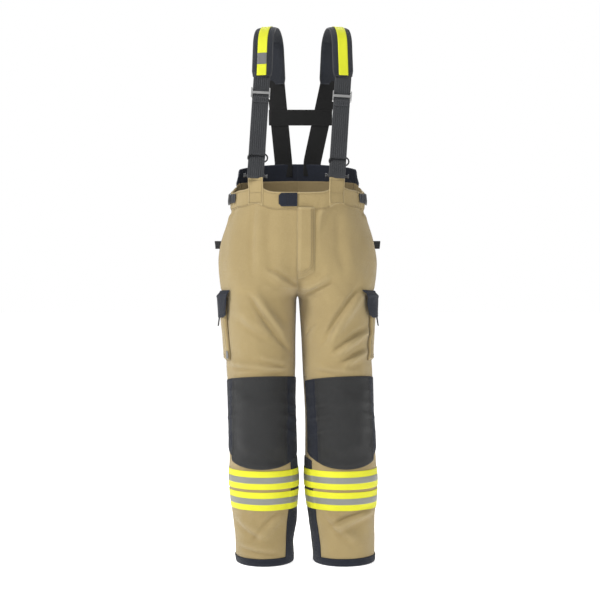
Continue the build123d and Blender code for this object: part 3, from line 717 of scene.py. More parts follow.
# straight runs with rounded corners, as points close together
def roundedPath(corners, radius, step=0.002):
    corners = [np.asarray(c, float) for c in corners]
    path = [corners[0]]
    for before, here, after in zip(corners, corners[1:], corners[2:]):
        a, b = before - here, after - here
        reach = min(radius, 0.45 * np.linalg.norm(a), 0.45 * np.linalg.norm(b))
        p, q = here + unit(a) * reach, here + unit(b) * reach
        for t in np.linspace(0, 1, 8):
            path.append((1 - t) ** 2 * p + 2 * t * (1 - t) * here + t ** 2 * q)
    path.append(corners[-1])
    dense = [path[0]]
    for a, b in zip(path, path[1:]):
        count = max(1, int(np.linalg.norm(b - a) / step))
        dense += [a + (b - a) * (k + 1) / count for k in range(count)]
    return np.array(dense)


stitches = {}
stitchFaces = ((0, 1, 5), (1, 2, 4, 5), (2, 3, 4), (0, 6, 1), (6, 7, 2, 1), (7, 3, 2), (0, 5, 6),
               (5, 4, 7, 6), (4, 3, 7))


# real thread along a line of points; all the stitches of one body and thread become one piece
def stitchLine(body, points, normals, material, pitch=0.0036, long=0.0026, wide=0.0005, lift=0.0004):
    points, normals = np.asarray(points), np.asarray(normals)
    run = lengthsAlong(points)
    if run[-1] < 2 * pitch:
        return
    places = np.arange(pitch / 2, run[-1], pitch)
    at = np.stack([np.interp(places, run, points[:, k]) for k in range(3)], 1)
    ahead = np.stack([np.interp(places + 1e-4, run, points[:, k]) for k in range(3)], 1)
    back = np.stack([np.interp(places - 1e-4, run, points[:, k]) for k in range(3)], 1)
    out = np.stack([np.interp(places, run, normals[:, k]) for k in range(3)], 1)
    stitches.setdefault((body, material.name), []).append((at, ahead - back, out, long, wide, lift))


# turn the collected stitches into meshes and let them move with their cloth
def sewAll():
    for (body, materialName), lines in stitches.items():
        verts, faces, uvs = [], [], []
        for at, way, out, long, wide, lift in lines:
            way = way / np.maximum(np.linalg.norm(way, axis=1, keepdims=True), 1e-9)
            out = out / np.maximum(np.linalg.norm(out, axis=1, keepdims=True), 1e-9)
            across = np.cross(way, out)
            for p, w, n, a in zip(at + out * lift, way, out, across):
                base = len(verts)
                rear = p - w * long * 0.28 + n * wide * 0.7
                fore = p + w * long * 0.28 + n * wide * 0.7
                verts += [p - w * long / 2 - n * wide, rear - a * wide, fore - a * wide,
                          p + w * long / 2 - n * wide, fore + a * wide, rear + a * wide,
                          p - w * long * 0.2 - n * wide, p + w * long * 0.2 - n * wide]
                faces += [tuple(base + i for i in face) for face in stitchFaces]
                uvs += [(0, 0), (0.001, 0), (0.002, 0), (0.003, 0), (0.002, 0.001), (0.001, 0.001),
                        (0.001, 0), (0.002, 0)]
        piece = meshPiece(f"stitching_{body}_{materialName}", verts, faces, uvs,
                          [bpy.data.materials[materialName]])
        moveWith(piece, body)


# body is a CAD body, or hip or knee with a side for cloth at those joints, which is only baked in place
def moveWith(piece, body):
    for side, sign in sides.items():
        if body == f"{side}Hip":
            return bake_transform(piece)
        if body == f"{side}Knee":
            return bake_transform(piece)
    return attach(piece, body)


def dress(piece, slotName, body, *nodes):
    if nodes:
        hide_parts(*nodes)
    moveWith(piece, body)


def sewSkin(body, thread, side, column, z, lift=0.0):
    point, out = onSkin(side, column, z, lift)
    stitchLine(body, point, out, thread)


def straight(count):
    return np.linspace(0, 1, count)


def flatPlaces(across, along):
    across, along = np.broadcast_arrays(across, along)
    return np.stack([across, along, 0 * along], axis=-1)


# inside: how deep the lining lies
plies = {"shell": 0.0024, "lining": 0.0012, "inside": -0.0032, "facing": 0.0014}


def makeShell(side):
    around = np.arange(columns + 1)
    low = np.concatenate([np.arange(kneeSeam, 0.732, rowStep), np.arange(0.732, 0.76, 0.002),
                          np.arange(0.760, 0.90, rowStep)])
    ring = onSkin(side, around, 1.0)[0]
    y, rim = ring[:, 1], rimHeight(ring)
    top = straight(42)[:, None]

    def upTo(edge):
        return np.concatenate([np.repeat(low[:, None], columns + 1, 1), 0.90 + (edge[None] - 0.90) * top])

    z = upTo(rim)
    shell = skinSheet(f"{side}UpperCloth", side, around[None], z, 0, plies["shell"], [tanCloth])
    dress(shell, "tan_shell", f"{side}Hip", f"{side}_seat_front", f"{side}_seat_back", f"{side}_hip_fold",
          f"{side}_thigh")
    z = np.concatenate([np.arange(0.0035, kneeSeam - 0.001, rowStep), [kneeSeam]])[:, None]
    shin = skinSheet(f"{side}LowerCloth", side, around[None], z, 0, plies["shell"], [tanCloth], ring=True)
    dress(shin, "tan_shell", f"{side}Knee", f"{side}_knee_fold", f"{side}_shin")
    thin = np.arange(0, columns + 1, 2)
    z = upTo(rim - 0.046)[::2, ::2]
    lining = skinSheet(f"{side}UpperLining", side, thin[None], z, plies["inside"], plies["lining"],
                       [quiltCloth])
    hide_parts(f"{side}_seat_lining", f"{side}_thigh_lining")
    moveWith(lining, f"{side}Hip")
    z = np.append(np.arange(0.024, kneeSeam, 2 * rowStep), kneeSeam)[:, None]
    shinLining = skinSheet(f"{side}LowerLining", side, thin[None], z, plies["inside"], plies["lining"],
                           [quiltCloth], ring=True)
    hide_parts(f"{side}_shin_lining")
    moveWith(shinLining, f"{side}Knee")
    # the strip inside the waist edge; behind it reaches up inside the raised band
    inBack = ease(0.02, 0.06, y)
    z = rim[None] + (-0.050 + (0.0495 + 0.012 * inBack[None]) * straight(18)[:, None])
    tucked = -0.0034 - 0.0028 * inBack[None] * ease(-0.036, -0.028, z - rim[None])
    facing = skinSheet(f"{side}WaistFacing", side, around[None], z, tucked, plies["facing"], [facingAndPocketShadeCloth])
    dress(facing, "facing", "trousers", "waist_facing")
    # seams
    for inset in (0.0465, 0.0435):
        sewSkin(f"{side}Hip", tanThread, side, around, rim - inset)
    sewSkin(f"{side}Hip", tanThread, side, around, rim - 0.005)
    heights = np.arange(0.515, 0.985, 0.004)
    for inset in (0.003, 0.009):
        sewSkin(f"{side}Hip", tanThread, side, fromOutside(side, -inset, heights), heights)
        sewSkin(f"{side}Knee", tanThread, side, fromOutside(side, -inset, heights - 0.49), heights - 0.49)
    for inset in (0.003, 0.008):
        back = np.arange(0.770, 1.0, 0.004)
        sewSkin(f"{side}Hip", tanThread, side, columns - columns * inset / girthAt(side, back), back)
        behind = np.arange(columns * 0.52, columns * 0.97)
        sewSkin(f"{side}Hip", tanThread, side, behind, kneeSeam + inset)


for side in sides:
    makeShell(side)
print("shell and lining sewn")


hem = {"tall": 0.021, "thick": 0.0017}


def makeHem(side):
    around = np.arange(columns + 1)
    profile = [(0.0004, hem["tall"]), (0.0014, hem["tall"] + 0.0004),
               (hem["thick"] + 0.0004, hem["tall"] - 0.002),
               (hem["thick"] + 0.0006, 0.012), (hem["thick"] + 0.0005, 0.004), (0.0006, 0.0006),
               (-0.0012, 0.0),
               (-0.0030, 0.0006), (-0.0048, 0.004), (-0.0050, 0.014), (-0.0049, hem["tall"] + 0.002),
               (-0.0040, hem["tall"] + 0.003), (-0.0034, hem["tall"]), (-0.0028, 0.006), (-0.0014, 0.0028),
               (0.0, 0.006),
               (0.0004, hem["tall"])]
    rows = []
    for lift, z in profile:
        base, out = onSkin(side, around, max(z, 0.0035))
        point = base + out * lift
        point[:, 2] = z
        rows.append(point)
    rows = np.array(rows)
    uv = gridUv(rows)
    piece = meshPiece(f"{side}HemBinding", rows.reshape(-1, 3), gridFaces(len(rows), columns + 1),
                      uv.reshape(-1, 2), [navyCloth])
    dress(piece, "navy_shell", f"{side}_lower_leg", f"{side}_hem_binding")
    sewSkin(f"{side}_lower_leg", darkThread, side, around, hem["tall"] - 0.003, hem["thick"] + 0.0004)


guard = {"half": 0.064, "top": 0.292, "thick": 0.0014}
tape = {"low": 0.154, "step": 0.058, "wide": 0.050, "lime": 0.0165, "thick": 0.0008}


# 1 on the leg guard, 0 off it
def guardShare(side, column, z):
    steps = np.abs(np.mod(np.asarray(column) + columns / 2, columns) - columns / 2)
    away = steps * girthAt(side, z) / columns
    return ease(guard["half"] + 0.006, guard["half"] - 0.001, away)


def makeGuardAndTapes(side):
    s = np.linspace(-guard["half"], guard["half"], 45)
    z = np.linspace(0.019, guard["top"], 70)[:, None]
    z = z - 0.006 * (np.abs(s[None]) / guard["half"]) ** 4 * (z > 0.28)
    column = fromFront(side, s[None], z)
    piece = skinSheet(f"{side}LegGuard", side, column, z, 0.0021, guard["thick"], [navyCloth])
    dress(piece, "navy_shell", f"{side}_lower_leg", f"{side}_leg_guard")
    for edge in (-guard["half"] + 0.003, guard["half"] - 0.003):
        heights = np.arange(0.024, guard["top"] - 0.004, 0.004)
        sewSkin(f"{side}_lower_leg", darkThread, side, fromFront(side, edge, heights), heights,
                np.full(heights.shape, 0.0021))
    # three stripes on one woven strip, twice
    lime = [0, 0.0012, 0.005, 0.009, 0.0125, tape["lime"] - 0.0004]
    cuts = lime + [tape["lime"], 0.021, 0.025, 0.029, tape["wide"] - tape["lime"]]
    cuts += [tape["wide"] - t for t in lime[::-1]]
    rise = np.array([-0.0003] + [0] * 5 + [0.00025] * 5 + [0] * 5 + [-0.0003])
    around = np.arange(columns + 1)
    for k in range(2):
        z = tape["low"] + k * tape["step"] + np.array(cuts)
        z = np.repeat(z[:, None], columns + 1, 1)
        lift = 0.0016 + 0.0019 * guardShare(side, around[None], z) + rise[:, None]
        label = ("Lower", "Upper")[k]
        piece = skinSheet(f"{side}{label}Tape", side, around[None], z, lift, tape["thick"],
                          [limeTape, silverTape], ring=True,
                          slotOf=lambda r, c: 1 if 6 <= r < 10 else 0)
        dress(piece, "reflective_tape", f"{side}_lower_leg", f"{side}_reflective_tapes")


for side in sides:
    makeHem(side)
    makeGuardAndTapes(side)
print("hems, guards and tapes sewn")


knee = {"right": {"inner": 0.012, "seamIn": 0.080, "seamOut": 0.258, "outer": 0.302, "middle": 0.152},
        "left": {"inner": 0.045, "seamIn": 0.092, "seamOut": 0.269, "outer": 0.306, "middle": 0.165},
        "top": 0.520, "low": 0.268, "thick": 0.0016, "bulge": 0.0085, "padHalf": 0.060, "padTop": 0.462,
        "padLow": 0.308,
        # creases across the patch: height, slope, depth
        "creases": ((0.350, 0.30, 0.0026), (0.392, 0.26, 0.0034), (0.428, 0.20, 0.0030),
                    (0.468, 0.10, 0.0022))}


# the patch stands off over the knee pad and lies flat at its edges
def kneeLift(side, s, z):
    spec = knee[side]
    wide = ease(knee["padHalf"] + 0.030, knee["padHalf"] - 0.022, np.abs(s - spec["middle"]))
    tall = ease(knee["padLow"] - 0.026, knee["padLow"] + 0.024, z)
    tall = tall * ease(knee["padTop"] + 0.030, knee["padTop"] - 0.024, z)
    return knee["bulge"] * wide * tall


def makeKnee(side):
    spec = knee[side]
    s = np.linspace(spec["inner"], spec["outer"], 110)
    half = (spec["outer"] - spec["inner"]) / 2
    off = (s - spec["inner"] - half) / half
    tilt = 0.005 if side == "left" else -0.003
    top = knee["top"] - 0.011 * off ** 2 + tilt * off
    low = knee["low"] + 0.040 * off ** 2 + 0.012 * ease(spec["seamOut"] - 0.002, spec["seamOut"] + 0.002, s)
    z = low[None] + (top - low)[None] * straight(84)[:, None]
    column = fromFront(side, s[None], z)
    edge = np.minimum(np.minimum(z - low[None], top[None] - z),
                      np.minimum(s - spec["inner"], spec["outer"] - s)[None])
    seam = np.minimum(np.abs(s - spec["seamIn"]), np.abs(s - spec["seamOut"]))[None]
    wrinkle = 0.0016 * smoothNoise(flatPlaces(s[None], z), (0.040, 0.024, 1), 21)
    fromInner, fromOuter = s[None] - spec["inner"], spec["outer"] - s[None]
    for height, slope, deep in knee["creases"]:
        bend = z - height - slope * fromInner
        wrinkle = wrinkle + deep * np.exp(-(bend / 0.0075) ** 2) * ease(0.125, 0.05, fromInner)
        bend = z - height - 0.006 - slope * fromOuter
        wrinkle = wrinkle + 0.8 * deep * np.exp(-(bend / 0.0075) ** 2) * ease(0.10, 0.045, fromOuter)
    overGuard = 0.0016 * guardShare(side, column, z) * ease(0.306, 0.296, z)
    lift = 0.0026 + overGuard + kneeLift(side, s[None], z) + 0.0009 * ease(0.0, 0.003, seam) - 0.0008
    lift = lift + wrinkle * ease(0.0, 0.02, edge)
    lift = np.maximum(lift, 0.0018)
    between = (s[:-1] + s[1:]) / 2
    piece = skinSheet(f"{side}KneePatch", side, column, z, lift, knee["thick"], [coatedCloth, navyCloth],
                      slotOf=lambda r, c: 0 if spec["seamIn"] < between[c] < spec["seamOut"] else 1)
    dress(piece, "coated_patch", f"{side}Knee", f"{side}_knee_patch")

    def sew(ss, zs, normalLift):
        points, out = onSkin(side, fromFront(side, ss, zs), zs, normalLift)
        stitchLine(f"{side}Knee", points, out, darkThread)

    rows = slice(2, -2)
    for sAt in (spec["inner"] + 0.003, spec["seamIn"] + 0.003, spec["seamIn"] + 0.008,
                spec["seamOut"] - 0.003,
                spec["seamOut"] - 0.008, spec["outer"] - 0.003):
        at = int(np.argmin(np.abs(s - sAt)))
        sew(np.full(80, s[at]), z[rows, at], lift[rows, at])
    for row, inset in ((1, 0.0015), (-2, -0.0015)):
        sew(s, z[row] + inset, lift[row])
    # the foam pad in its pocket
    s = spec["middle"] + np.linspace(-knee["padHalf"], knee["padHalf"], 30)
    z = np.linspace(knee["padLow"], knee["padTop"], 36)[:, None]
    corner = ease(0, 0.016, knee["padHalf"] - np.abs(s - spec["middle"]))[None]
    corner = corner * ease(0, 0.016, z - knee["padLow"]) * ease(0, 0.016, knee["padTop"] - z)
    lift = 0.0008 + 0.0058 * (0.35 + 0.65 * corner)
    pad = skinSheet(f"{side}KneePad", side, fromFront(side, s[None], z), z, lift, lift - 0.0004, [foam])
    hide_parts(f"{side}_knee_pad")
    moveWith(pad, f"{side}Knee")


for side in sides:
    makeKnee(side)
print("knees sewn")


pocket = {"low": 0.562, "top": 0.733, "front": 0.064, "back": 0.074, "deepLow": 0.0062, "deepTop": 0.0128,
          "thick": 0.0012}
flap = {"low": 0.680, "top": 0.754, "front": {"right": 0.096, "left": 0.112},
        "frontTaper": {"right": 0.020, "left": 0.029},
        "back": 0.086, "taper": 0.020, "thick": 0.0019, "out": 0.0168}


def makePocket(side):
    s = np.concatenate([[pocket["front"], pocket["front"] - 0.0006],
                        np.linspace(pocket["front"] - 0.002, -pocket["back"] + 0.002, 60),
                        [-pocket["back"] + 0.0006, -pocket["back"]]])
    z = np.concatenate([[pocket["low"], pocket["low"] + 0.0006],
                        np.linspace(pocket["low"] + 0.002, pocket["top"], 66)])[:, None]
    deep = pocket["deepLow"] + (pocket["deepTop"] - pocket["deepLow"]) * (z
            - pocket["low"]) / (pocket["top"] - pocket["low"])
    edge = np.minimum(np.minimum(pocket["front"] - s, s + pocket["back"])[None], z - pocket["low"])
    wall = 0.25 + 0.75 * ease(0.0, 0.0045, edge)
    sag = 0.0009 * smoothNoise(flatPlaces(s[None], z), (0.04, 0.03, 1), 31 + sides[side])
    pleat = -0.0016 * np.exp(-((pocket["front"] - 0.016 - s[None]) / 0.003) ** 2)
    pleat = pleat * ease(pocket["top"], pocket["low"], z)
    lift = 0.0008 + deep * wall + (sag + pleat) * ease(0.0, 0.02, edge)
    # faces within 2.6 mm of the pocket's front, back and bottom edges take the darker facing cloth: painted
    # shade in the fold of the pocket's side walls
    middle = (edge[:-1, :-1] + edge[1:, 1:]) / 2
    piece = skinSheet(f"{side}Pocket", side, fromOutside(side, s[None], z), z, lift, pocket["thick"],
                      [tanCloth, facingAndPocketShadeCloth],
                      slotOf=lambda r, c: 1 if middle[r, c] < 0.0026 else 0)
    dress(piece, "tan_pocket", f"{side}_upper_leg", f"{side}_pocket")

    def outAt(sAt, zAt):
        depth = pocket["deepLow"] + (pocket["deepTop"] - pocket["deepLow"]) * (zAt
                - pocket["low"]) / (pocket["top"] - pocket["low"])
        return 0.0008 + depth

    heights = np.arange(pocket["low"] + 0.008, pocket["top"], 0.004)
    for sAt in (pocket["front"] - 0.007, -pocket["back"] + 0.007):
        sewSkin(f"{side}_upper_leg", tanThread, side, fromOutside(side, sAt, heights), heights,
                outAt(sAt, heights))
    across = np.linspace(pocket["front"] - 0.007, -pocket["back"] + 0.007, 60)
    for zAt in (pocket["low"] + 0.008, pocket["low"] + 0.014):
        sewSkin(f"{side}_upper_leg", tanThread, side, fromOutside(side, across, zAt), zAt + 0 * across,
                outAt(across, zAt + 0 * across))
    # flap
    v = straight(34)[:, None]
    z = flap["top"] + (flap["low"] - flap["top"]) * v
    front = flap["front"][side] - flap["frontTaper"][side] * v
    back = -flap["back"] + flap["taper"] * v
    u = straight(58)[None]
    s = front + (back - front) * u
    corner = 0.006 * (ease(0.12, 0.0, u) + ease(0.88, 1.0, u))
    z = z + corner * v ** 3
    fall = ease(0.0, 0.16, v)
    frontShare = ease(0.30, 0.02, u)
    lift = 0.0036 + (flap["out"] - 0.0036 - 0.0050 * frontShare) * fall
    lift = lift + 0.0006 * smoothNoise(flatPlaces(s, z), (0.03, 0.03, 1), 41)
    piece = skinSheet(f"{side}PocketFlap", side, fromOutside(side, s, z), z, lift + 0.0012, flap["thick"],
                      [navyCloth])
    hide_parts(f"{side}_pocket_flap")
    flapBody = f"{side}_pocket_flap_body"
    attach(piece, flapBody)
    for inset in (0.004, 0.010):
        for rows, cols in ((slice(2, 34), slice(0, 1)), (slice(2, 34), slice(57, 58))):
            zs, ss = z[rows, cols].ravel(), s[rows, cols].ravel()
            ss = ss + (-inset if cols.start == 0 else inset)
            point, out = onSkin(side, fromOutside(side, ss, zs), zs, lift[rows, cols].ravel() + 0.0013)
            stitchLine(flapBody, point[:-2], out[:-2], darkThread)
        zs, ss = z[-1] + inset, s[-1] * 0.95
        sewSkin(flapBody, darkThread, side, fromOutside(side, ss, zs), zs, lift[-1] + 0.0013)
    # pull of webbing under the flap's lower edge
    z = np.linspace(flap["low"] + 0.006, flap["low"] - 0.024, 14)[:, None]
    s = np.linspace(0.011, -0.011, 10)[None]
    pull = skinSheet(f"{side}FlapPull", side, fromOutside(side, s, z), z, flap["out"] - 0.0006
                     + 0.25 * (flap["low"] + 0.006 - z) ** 1.15,
                     0.0018, [webbing])
    dress(pull, "black_webbing", flapBody)


for side in sides:
    makePocket(side)

# a blank tab in the front edge of the wearer's right pocket
z = np.linspace(0.566, 0.588, 10)[:, None]
s = np.linspace(pocket["front"] - 0.001, pocket["front"] - 0.015, 8)[None]
label = skinSheet("pocketTab", "right", fromOutside("right", s, z), z, np.full(z.shape, 0.0088), 0.0008,
                  [blankLabel])
dress(label, "grey_webbing", "right_upper_leg")
print("pockets sewn")


fly = {"wide": 0.0455, "low": 0.792, "top": 0.976, "out": 0.0070, "thick": 0.0016}


def makeFly():
    u = straight(26)[None]
    v = straight(52)[:, None]
    lowEdge = fly["low"] - 0.006 + 0.020 * u ** 2
    z = lowEdge + (fly["top"] - lowEdge) * v
    s = 0.0010 + (fly["wide"] - 0.0010) * u + 0 * v
    lift = 0.0022 + (fly["out"] - 0.0022) * ease(0.0, 0.22, u) * ease(1.0, 0.72, u) * ease(0.0, 0.10, v)
    lift = np.maximum(lift, 0.0022) + 0 * z
    piece = skinSheet("flyCover", "left", fromFront("left", s, z), z, lift, fly["thick"], [tanCloth])
    dress(piece, "tan_shell", "fly_cover_body", "fly_cover")
    for inset in (0.002, 0.008):
        ends = [(fly["wide"] - inset, zz) for zz in np.linspace(fly["top"] - 0.004, fly["low"] + 0.035, 50)]
        for angle in np.linspace(0, math.pi / 2, 24):
            ends.append((0.002 + (fly["wide"] - inset - 0.002) * math.cos(angle), fly["low"] + 0.035
                         - (0.030 - inset) * math.sin(angle)))
        ends = np.array(ends)
        share = ends[:, 0] / fly["wide"]
        rise = np.maximum(0.0022,
                          0.0022 + (fly["out"] - 0.0022) * ease(0.0, 0.22, share) * ease(1.0, 0.72, share)
                          * ease(0.0, 0.10, (ends[:, 1] - fly["low"] + 0.002) / (fly["top"] - fly["low"])))
        sewSkin("fly_cover_body", tanThread, "left", fromFront("left", ends[:, 0], ends[:, 1]), ends[:, 1],
                rise + 0.0002)
    # a soft strip between the cover and the cloth, along the sewn edge
    z = np.linspace(fly["low"] + 0.022, fly["top"] - 0.002, 40)[:, None]
    s = np.linspace(fly["wide"] - 0.007, fly["wide"] - 0.0005, 6)[None]
    strip = skinSheet("flyBacking", "left", fromFront("left", s, z), z, 0.0004 + 0 * z, 0.0002, [tanCloth])
    dress(strip, "tan_shell", "trousers", "fly_backing")


makeFly()

tab = {"long": 0.0490, "low": 0.9795, "top": 1.0145, "out": 0.0042, "thick": 0.0022, "cut": 0.006}
u = straight(30)[None]
v = straight(22)[:, None]
pinch = tab["cut"] * ease(0.86, 1.0, u)
z = tab["low"] + pinch + (tab["top"] - tab["low"] - 2 * pinch) * v
s = 0.0008 + (tab["long"] - 0.0008) * u + 0 * v
waistTab = skinSheet("waistTab", "right", fromFront("right", s, z), z, tab["out"] + 0 * z, tab["thick"],
                     [navyCloth])
dress(waistTab, "navy_shell", "waist_tab_body", "waist_tab")
for sAt in (0.024, 0.0265):
    heights = np.linspace(tab["low"] + 0.002, tab["top"] - 0.002, 20)
    sewSkin("waist_tab_body", darkThread, "right", fromFront("right", sAt + 0 * heights, heights), heights,
            tab["out"] + 0 * heights)
for zAt in (tab["low"] + 0.003, tab["top"] - 0.003):
    across = np.linspace(0.003, tab["long"] - 0.005, 30)
    sewSkin("waist_tab_body", darkThread, "right", fromFront("right", across, zAt), zAt + 0 * across,
            tab["out"] + 0 * across)


braceTab = {"top": 1.0580, "half": 0.0225, "drop": 0.046, "thick": 0.0028}
raisedBand = {"start": 0.585, "middle": 1.081, "tilt": 0.3017, "below": 0.024}
adjuster = {"low": 0.9955, "top": 1.0195, "front": 0.060, "back": -0.004,
            "bars": ((0.030, 0.026), (0.012, 0.008))}
hipLoop = {"height": 0.882, "wide": 0.0215, "thick": 0.0010, "lean": 0.10}


def makeWaist(side):
    sign = sides[side]
    # upright tab for the brace: the column where the cloth has the tab's x
    at = sum(c[0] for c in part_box(f"{side}_brace_toggle")) / 2
    ring = onSkin(side, np.arange(columns + 1), 1.0)[0]
    frontHalf = ring[:columns // 2]
    middle = np.interp(abs(at), np.abs(frontHalf[:, 0]), np.arange(columns // 2))
    half = braceTab["half"] * columns / girthAt(side, 1.0)
    column = middle + np.linspace(-half, half, 22)[None]
    foot = rimHeight(onSkin(side, column[0], 1.0)[0]) - braceTab["drop"]
    z = foot[None] + (braceTab["top"] - foot)[None] * straight(40)[:, None]
    lean = 0.0018 + 0.0030 * ease(1.02, 1.06, z)
    piece = skinSheet(f"{side}BraceTab", side, column, z, lean, braceTab["thick"], [tanCloth])
    dress(piece, "tan_shell", "trousers", "brace_tabs")
    for edge in (0.08, 0.92):
        cols = np.full(30, column[0, 0] + (column[0, -1] - column[0, 0]) * edge)
        zs = np.linspace(foot.mean() + 0.003, braceTab["top"], 30)
        sewSkin("trousers", tanThread, side, cols, zs, 0.0020 + 0.0030 * ease(1.02, 1.06, zs))
    for zAt in (foot.mean() + 0.004, foot.mean() + 0.030, 1.050):
        cols = np.linspace(column[0, 1], column[0, -2], 20)
        sewSkin("trousers", tanThread, side, cols, zAt + 0 * cols,
                0.0021 + 0.0030 * ease(1.02, 1.06, zAt + 0 * cols))
    # raised band behind
    first = columns * raisedBand["start"]
    around = np.linspace(first, columns, 84)
    base = onSkin(side, around, 1.0)[0]
    y, rim = base[:, 1], rimHeight(base)
    top = raisedBand["middle"] + raisedBand["tilt"] * y
    start = ease(0, 0.10, (around - first) / (columns - first))
    low = rim - raisedBand["below"]
    z = low[None] + ((rim + (top - rim) * start) - low)[None] * straight(40)[:, None]
    above = z - rim[None]
    # below the waist edge the band is one thin ply inside the shell; above it the band is padded
    lift = -0.0028 + 0.0040 * ease(0.001, 0.006, above) + 0.0010 * np.sin(math.pi * straight(40))[:, None]
    lift = np.where(above < 0.001, -0.0028, lift)
    band = skinSheet(f"{side}RaisedBand", side, around[None], z, lift,
                     0.0005 + 0.0042 * ease(0.001, 0.007, above), [navyCloth])
    dress(band, "navy_shell", "trousers", "raised_back_band")
    for inset in (0.004, 0.028):
        zs = rim + (top - rim) * start - inset
        keep = zs > rim + 0.008
        sewSkin("trousers", darkThread, side, around[keep], zs[keep], 0.0019 + 0 * zs[keep])
    # side adjuster: webbing with a small buckle
    z = np.linspace(adjuster["low"], adjuster["top"], 10)[:, None]
    s = np.linspace(adjuster["front"], adjuster["back"], 30)[None]
    strap = skinSheet(f"{side}WaistAdjuster", side, fromOutside(side, s, z), z,
                      0.0035 + 0.0008 * np.sin(40 * s) + 0 * z, 0.0016, [webbing])
    dress(strap, "black_webbing", "trousers", "waist_adjusters")
    for k, (s0, s1) in enumerate(adjuster["bars"]):
        z = np.linspace(adjuster["low"] - 0.003, adjuster["top"] + 0.003, 8)[:, None]
        s = np.linspace(s0, s1, 5)[None]
        bar = skinSheet(f"{side}AdjusterBar{k}", side, fromOutside(side, s, z), z, 0.0058 + 0 * z, 0.0022,
                        [blackSteel])
        dress(bar, "black_steel", "trousers")
    # webbing folded flat in the side seam
    low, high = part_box("hip_loops")
    reach, middle = high[0] - 0.0006, (low[1] + high[1]) / 2
    base = abs(onSkin(side, columns / 2, hipLoop["height"])[0][0]) - 0.003
    path = [(base, -0.0011), (reach - 0.003, -0.0013)]
    path += [(reach - 0.0013 + 0.0013 * math.cos(a), 0.0013 * math.sin(a))
             for a in np.linspace(-1.4, 1.4, 9)]
    path += [(reach - 0.003, 0.0013), (base, 0.0011)]
    path = roundedPath([np.array([sign * x, middle + y, hipLoop["height"]]) for x, y in path], 0.0006,
                       0.0015)
    leaning = np.array([hipLoop["lean"] * sign, 0, 1.0])
    ribbon(f"{side}HipLoop", path, unit(leaning), hipLoop["wide"], hipLoop["thick"], webbing,
           "black_webbing", replaces="hip_loops")


for side in sides:
    makeWaist(side)
print("waist sewn")


brace = {"radius": 0.058, "thick": 0.009, "wide": 0.056, "run": 0.092, "frontLean": 7.5, "backLean": 11.5,
         "turn": {"right": -13.24, "left": 13.24}, "stripeWide": 0.0262, "webbing": 0.044, "elastic": 0.050}


# points over the shoulder in the brace's own plane: along (front to back) and up
def padRoute(radius, trim, count):
    front, back = math.radians(brace["frontLean"]), math.radians(brace["backLean"])
    length = brace["run"] - trim
    start = (-(radius * math.cos(front) + length * math.sin(front)), radius * math.sin(front)
             - length * math.cos(front))
    frontTop = (-radius * math.cos(front), radius * math.sin(front))
    end = (radius * math.cos(back) + length * math.sin(back), radius * math.sin(back)
           - length * math.cos(back))
    points = [np.array(start) + (np.array(frontTop) - np.array(start)) * t
              for t in np.linspace(0, 1, count // 4)[:-1]]
    for angle in np.linspace(math.pi - front, back, count // 2):
        points.append(np.array([radius * math.cos(angle), radius * math.sin(angle)]))
    backTop = points[-1]
    points += [backTop + (np.array(end) - backTop) * t for t in np.linspace(0, 1, count // 4)[1:]]
    return np.array(points)


# route points and widths to places in the frame
def inBracePlane(side, flat, across):
    low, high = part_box(f"{side}_shoulder_pad")
    middle = Vector(((low[0] + high[0]) / 2, 0, high[2] - brace["thick"] - brace["radius"]))
    turn = math.radians(brace["turn"][side])
    ahead = np.array([-math.sin(turn), math.cos(turn), 0])
    wide = np.array([math.cos(turn), math.sin(turn), 0])
    return np.array(middle) + flat[..., 0:1] * ahead + flat[..., 1:2] * np.array([0, 0,
            1.0]) + across[..., None] * wide


def routeNormals(flat):
    way = np.gradient(flat, axis=0)
    normal = np.stack([-way[:, 1], way[:, 0]], 1)
    normal = normal / np.linalg.norm(normal, axis=1, keepdims=True)
    middle = len(flat) // 2
    return normal if normal[middle] @ flat[middle] > 0 else -normal   # away from the shoulder


# let the stuffing push the cover out for a moment, then keep the shape
def settle(piece, cap):
    rest = np.array([v.co for v in piece.data.vertices])
    bpy.ops.object.select_all(action="DESELECT")
    piece.select_set(True)
    bpy.context.view_layer.objects.active = piece
    cloth = piece.modifiers.new("stuffing", "CLOTH")
    cloth.settings.quality = 5
    cloth.settings.mass = 0.25
    cloth.settings.use_pressure = True
    cloth.settings.uniform_pressure_force = 4
    cloth.settings.effector_weights.gravity = 0
    cloth.settings.tension_stiffness = cloth.settings.compression_stiffness = 18
    cloth.settings.bending_stiffness = 0.6
    cloth.point_cache.frame_start, cloth.point_cache.frame_end = 1, 20
    for step in range(1, 21):
        scene.frame_set(step)
    shaped = piece.evaluated_get(bpy.context.evaluated_depsgraph_get())
    moved = np.array([v.co for v in shaped.data.vertices])
    piece.modifiers.remove(cloth)
    scene.frame_set(1)
    shift = moved - rest
    size = np.linalg.norm(shift, axis=1, keepdims=True)
    shift = shift * np.minimum(1, cap / np.maximum(size, 1e-9))
    for vertex, place in zip(piece.data.vertices, rest + shift):
        vertex.co = place
    print(f"{piece.name} settled, up to {1000 * np.linalg.norm(shift, axis=1).max():.2f} mm")


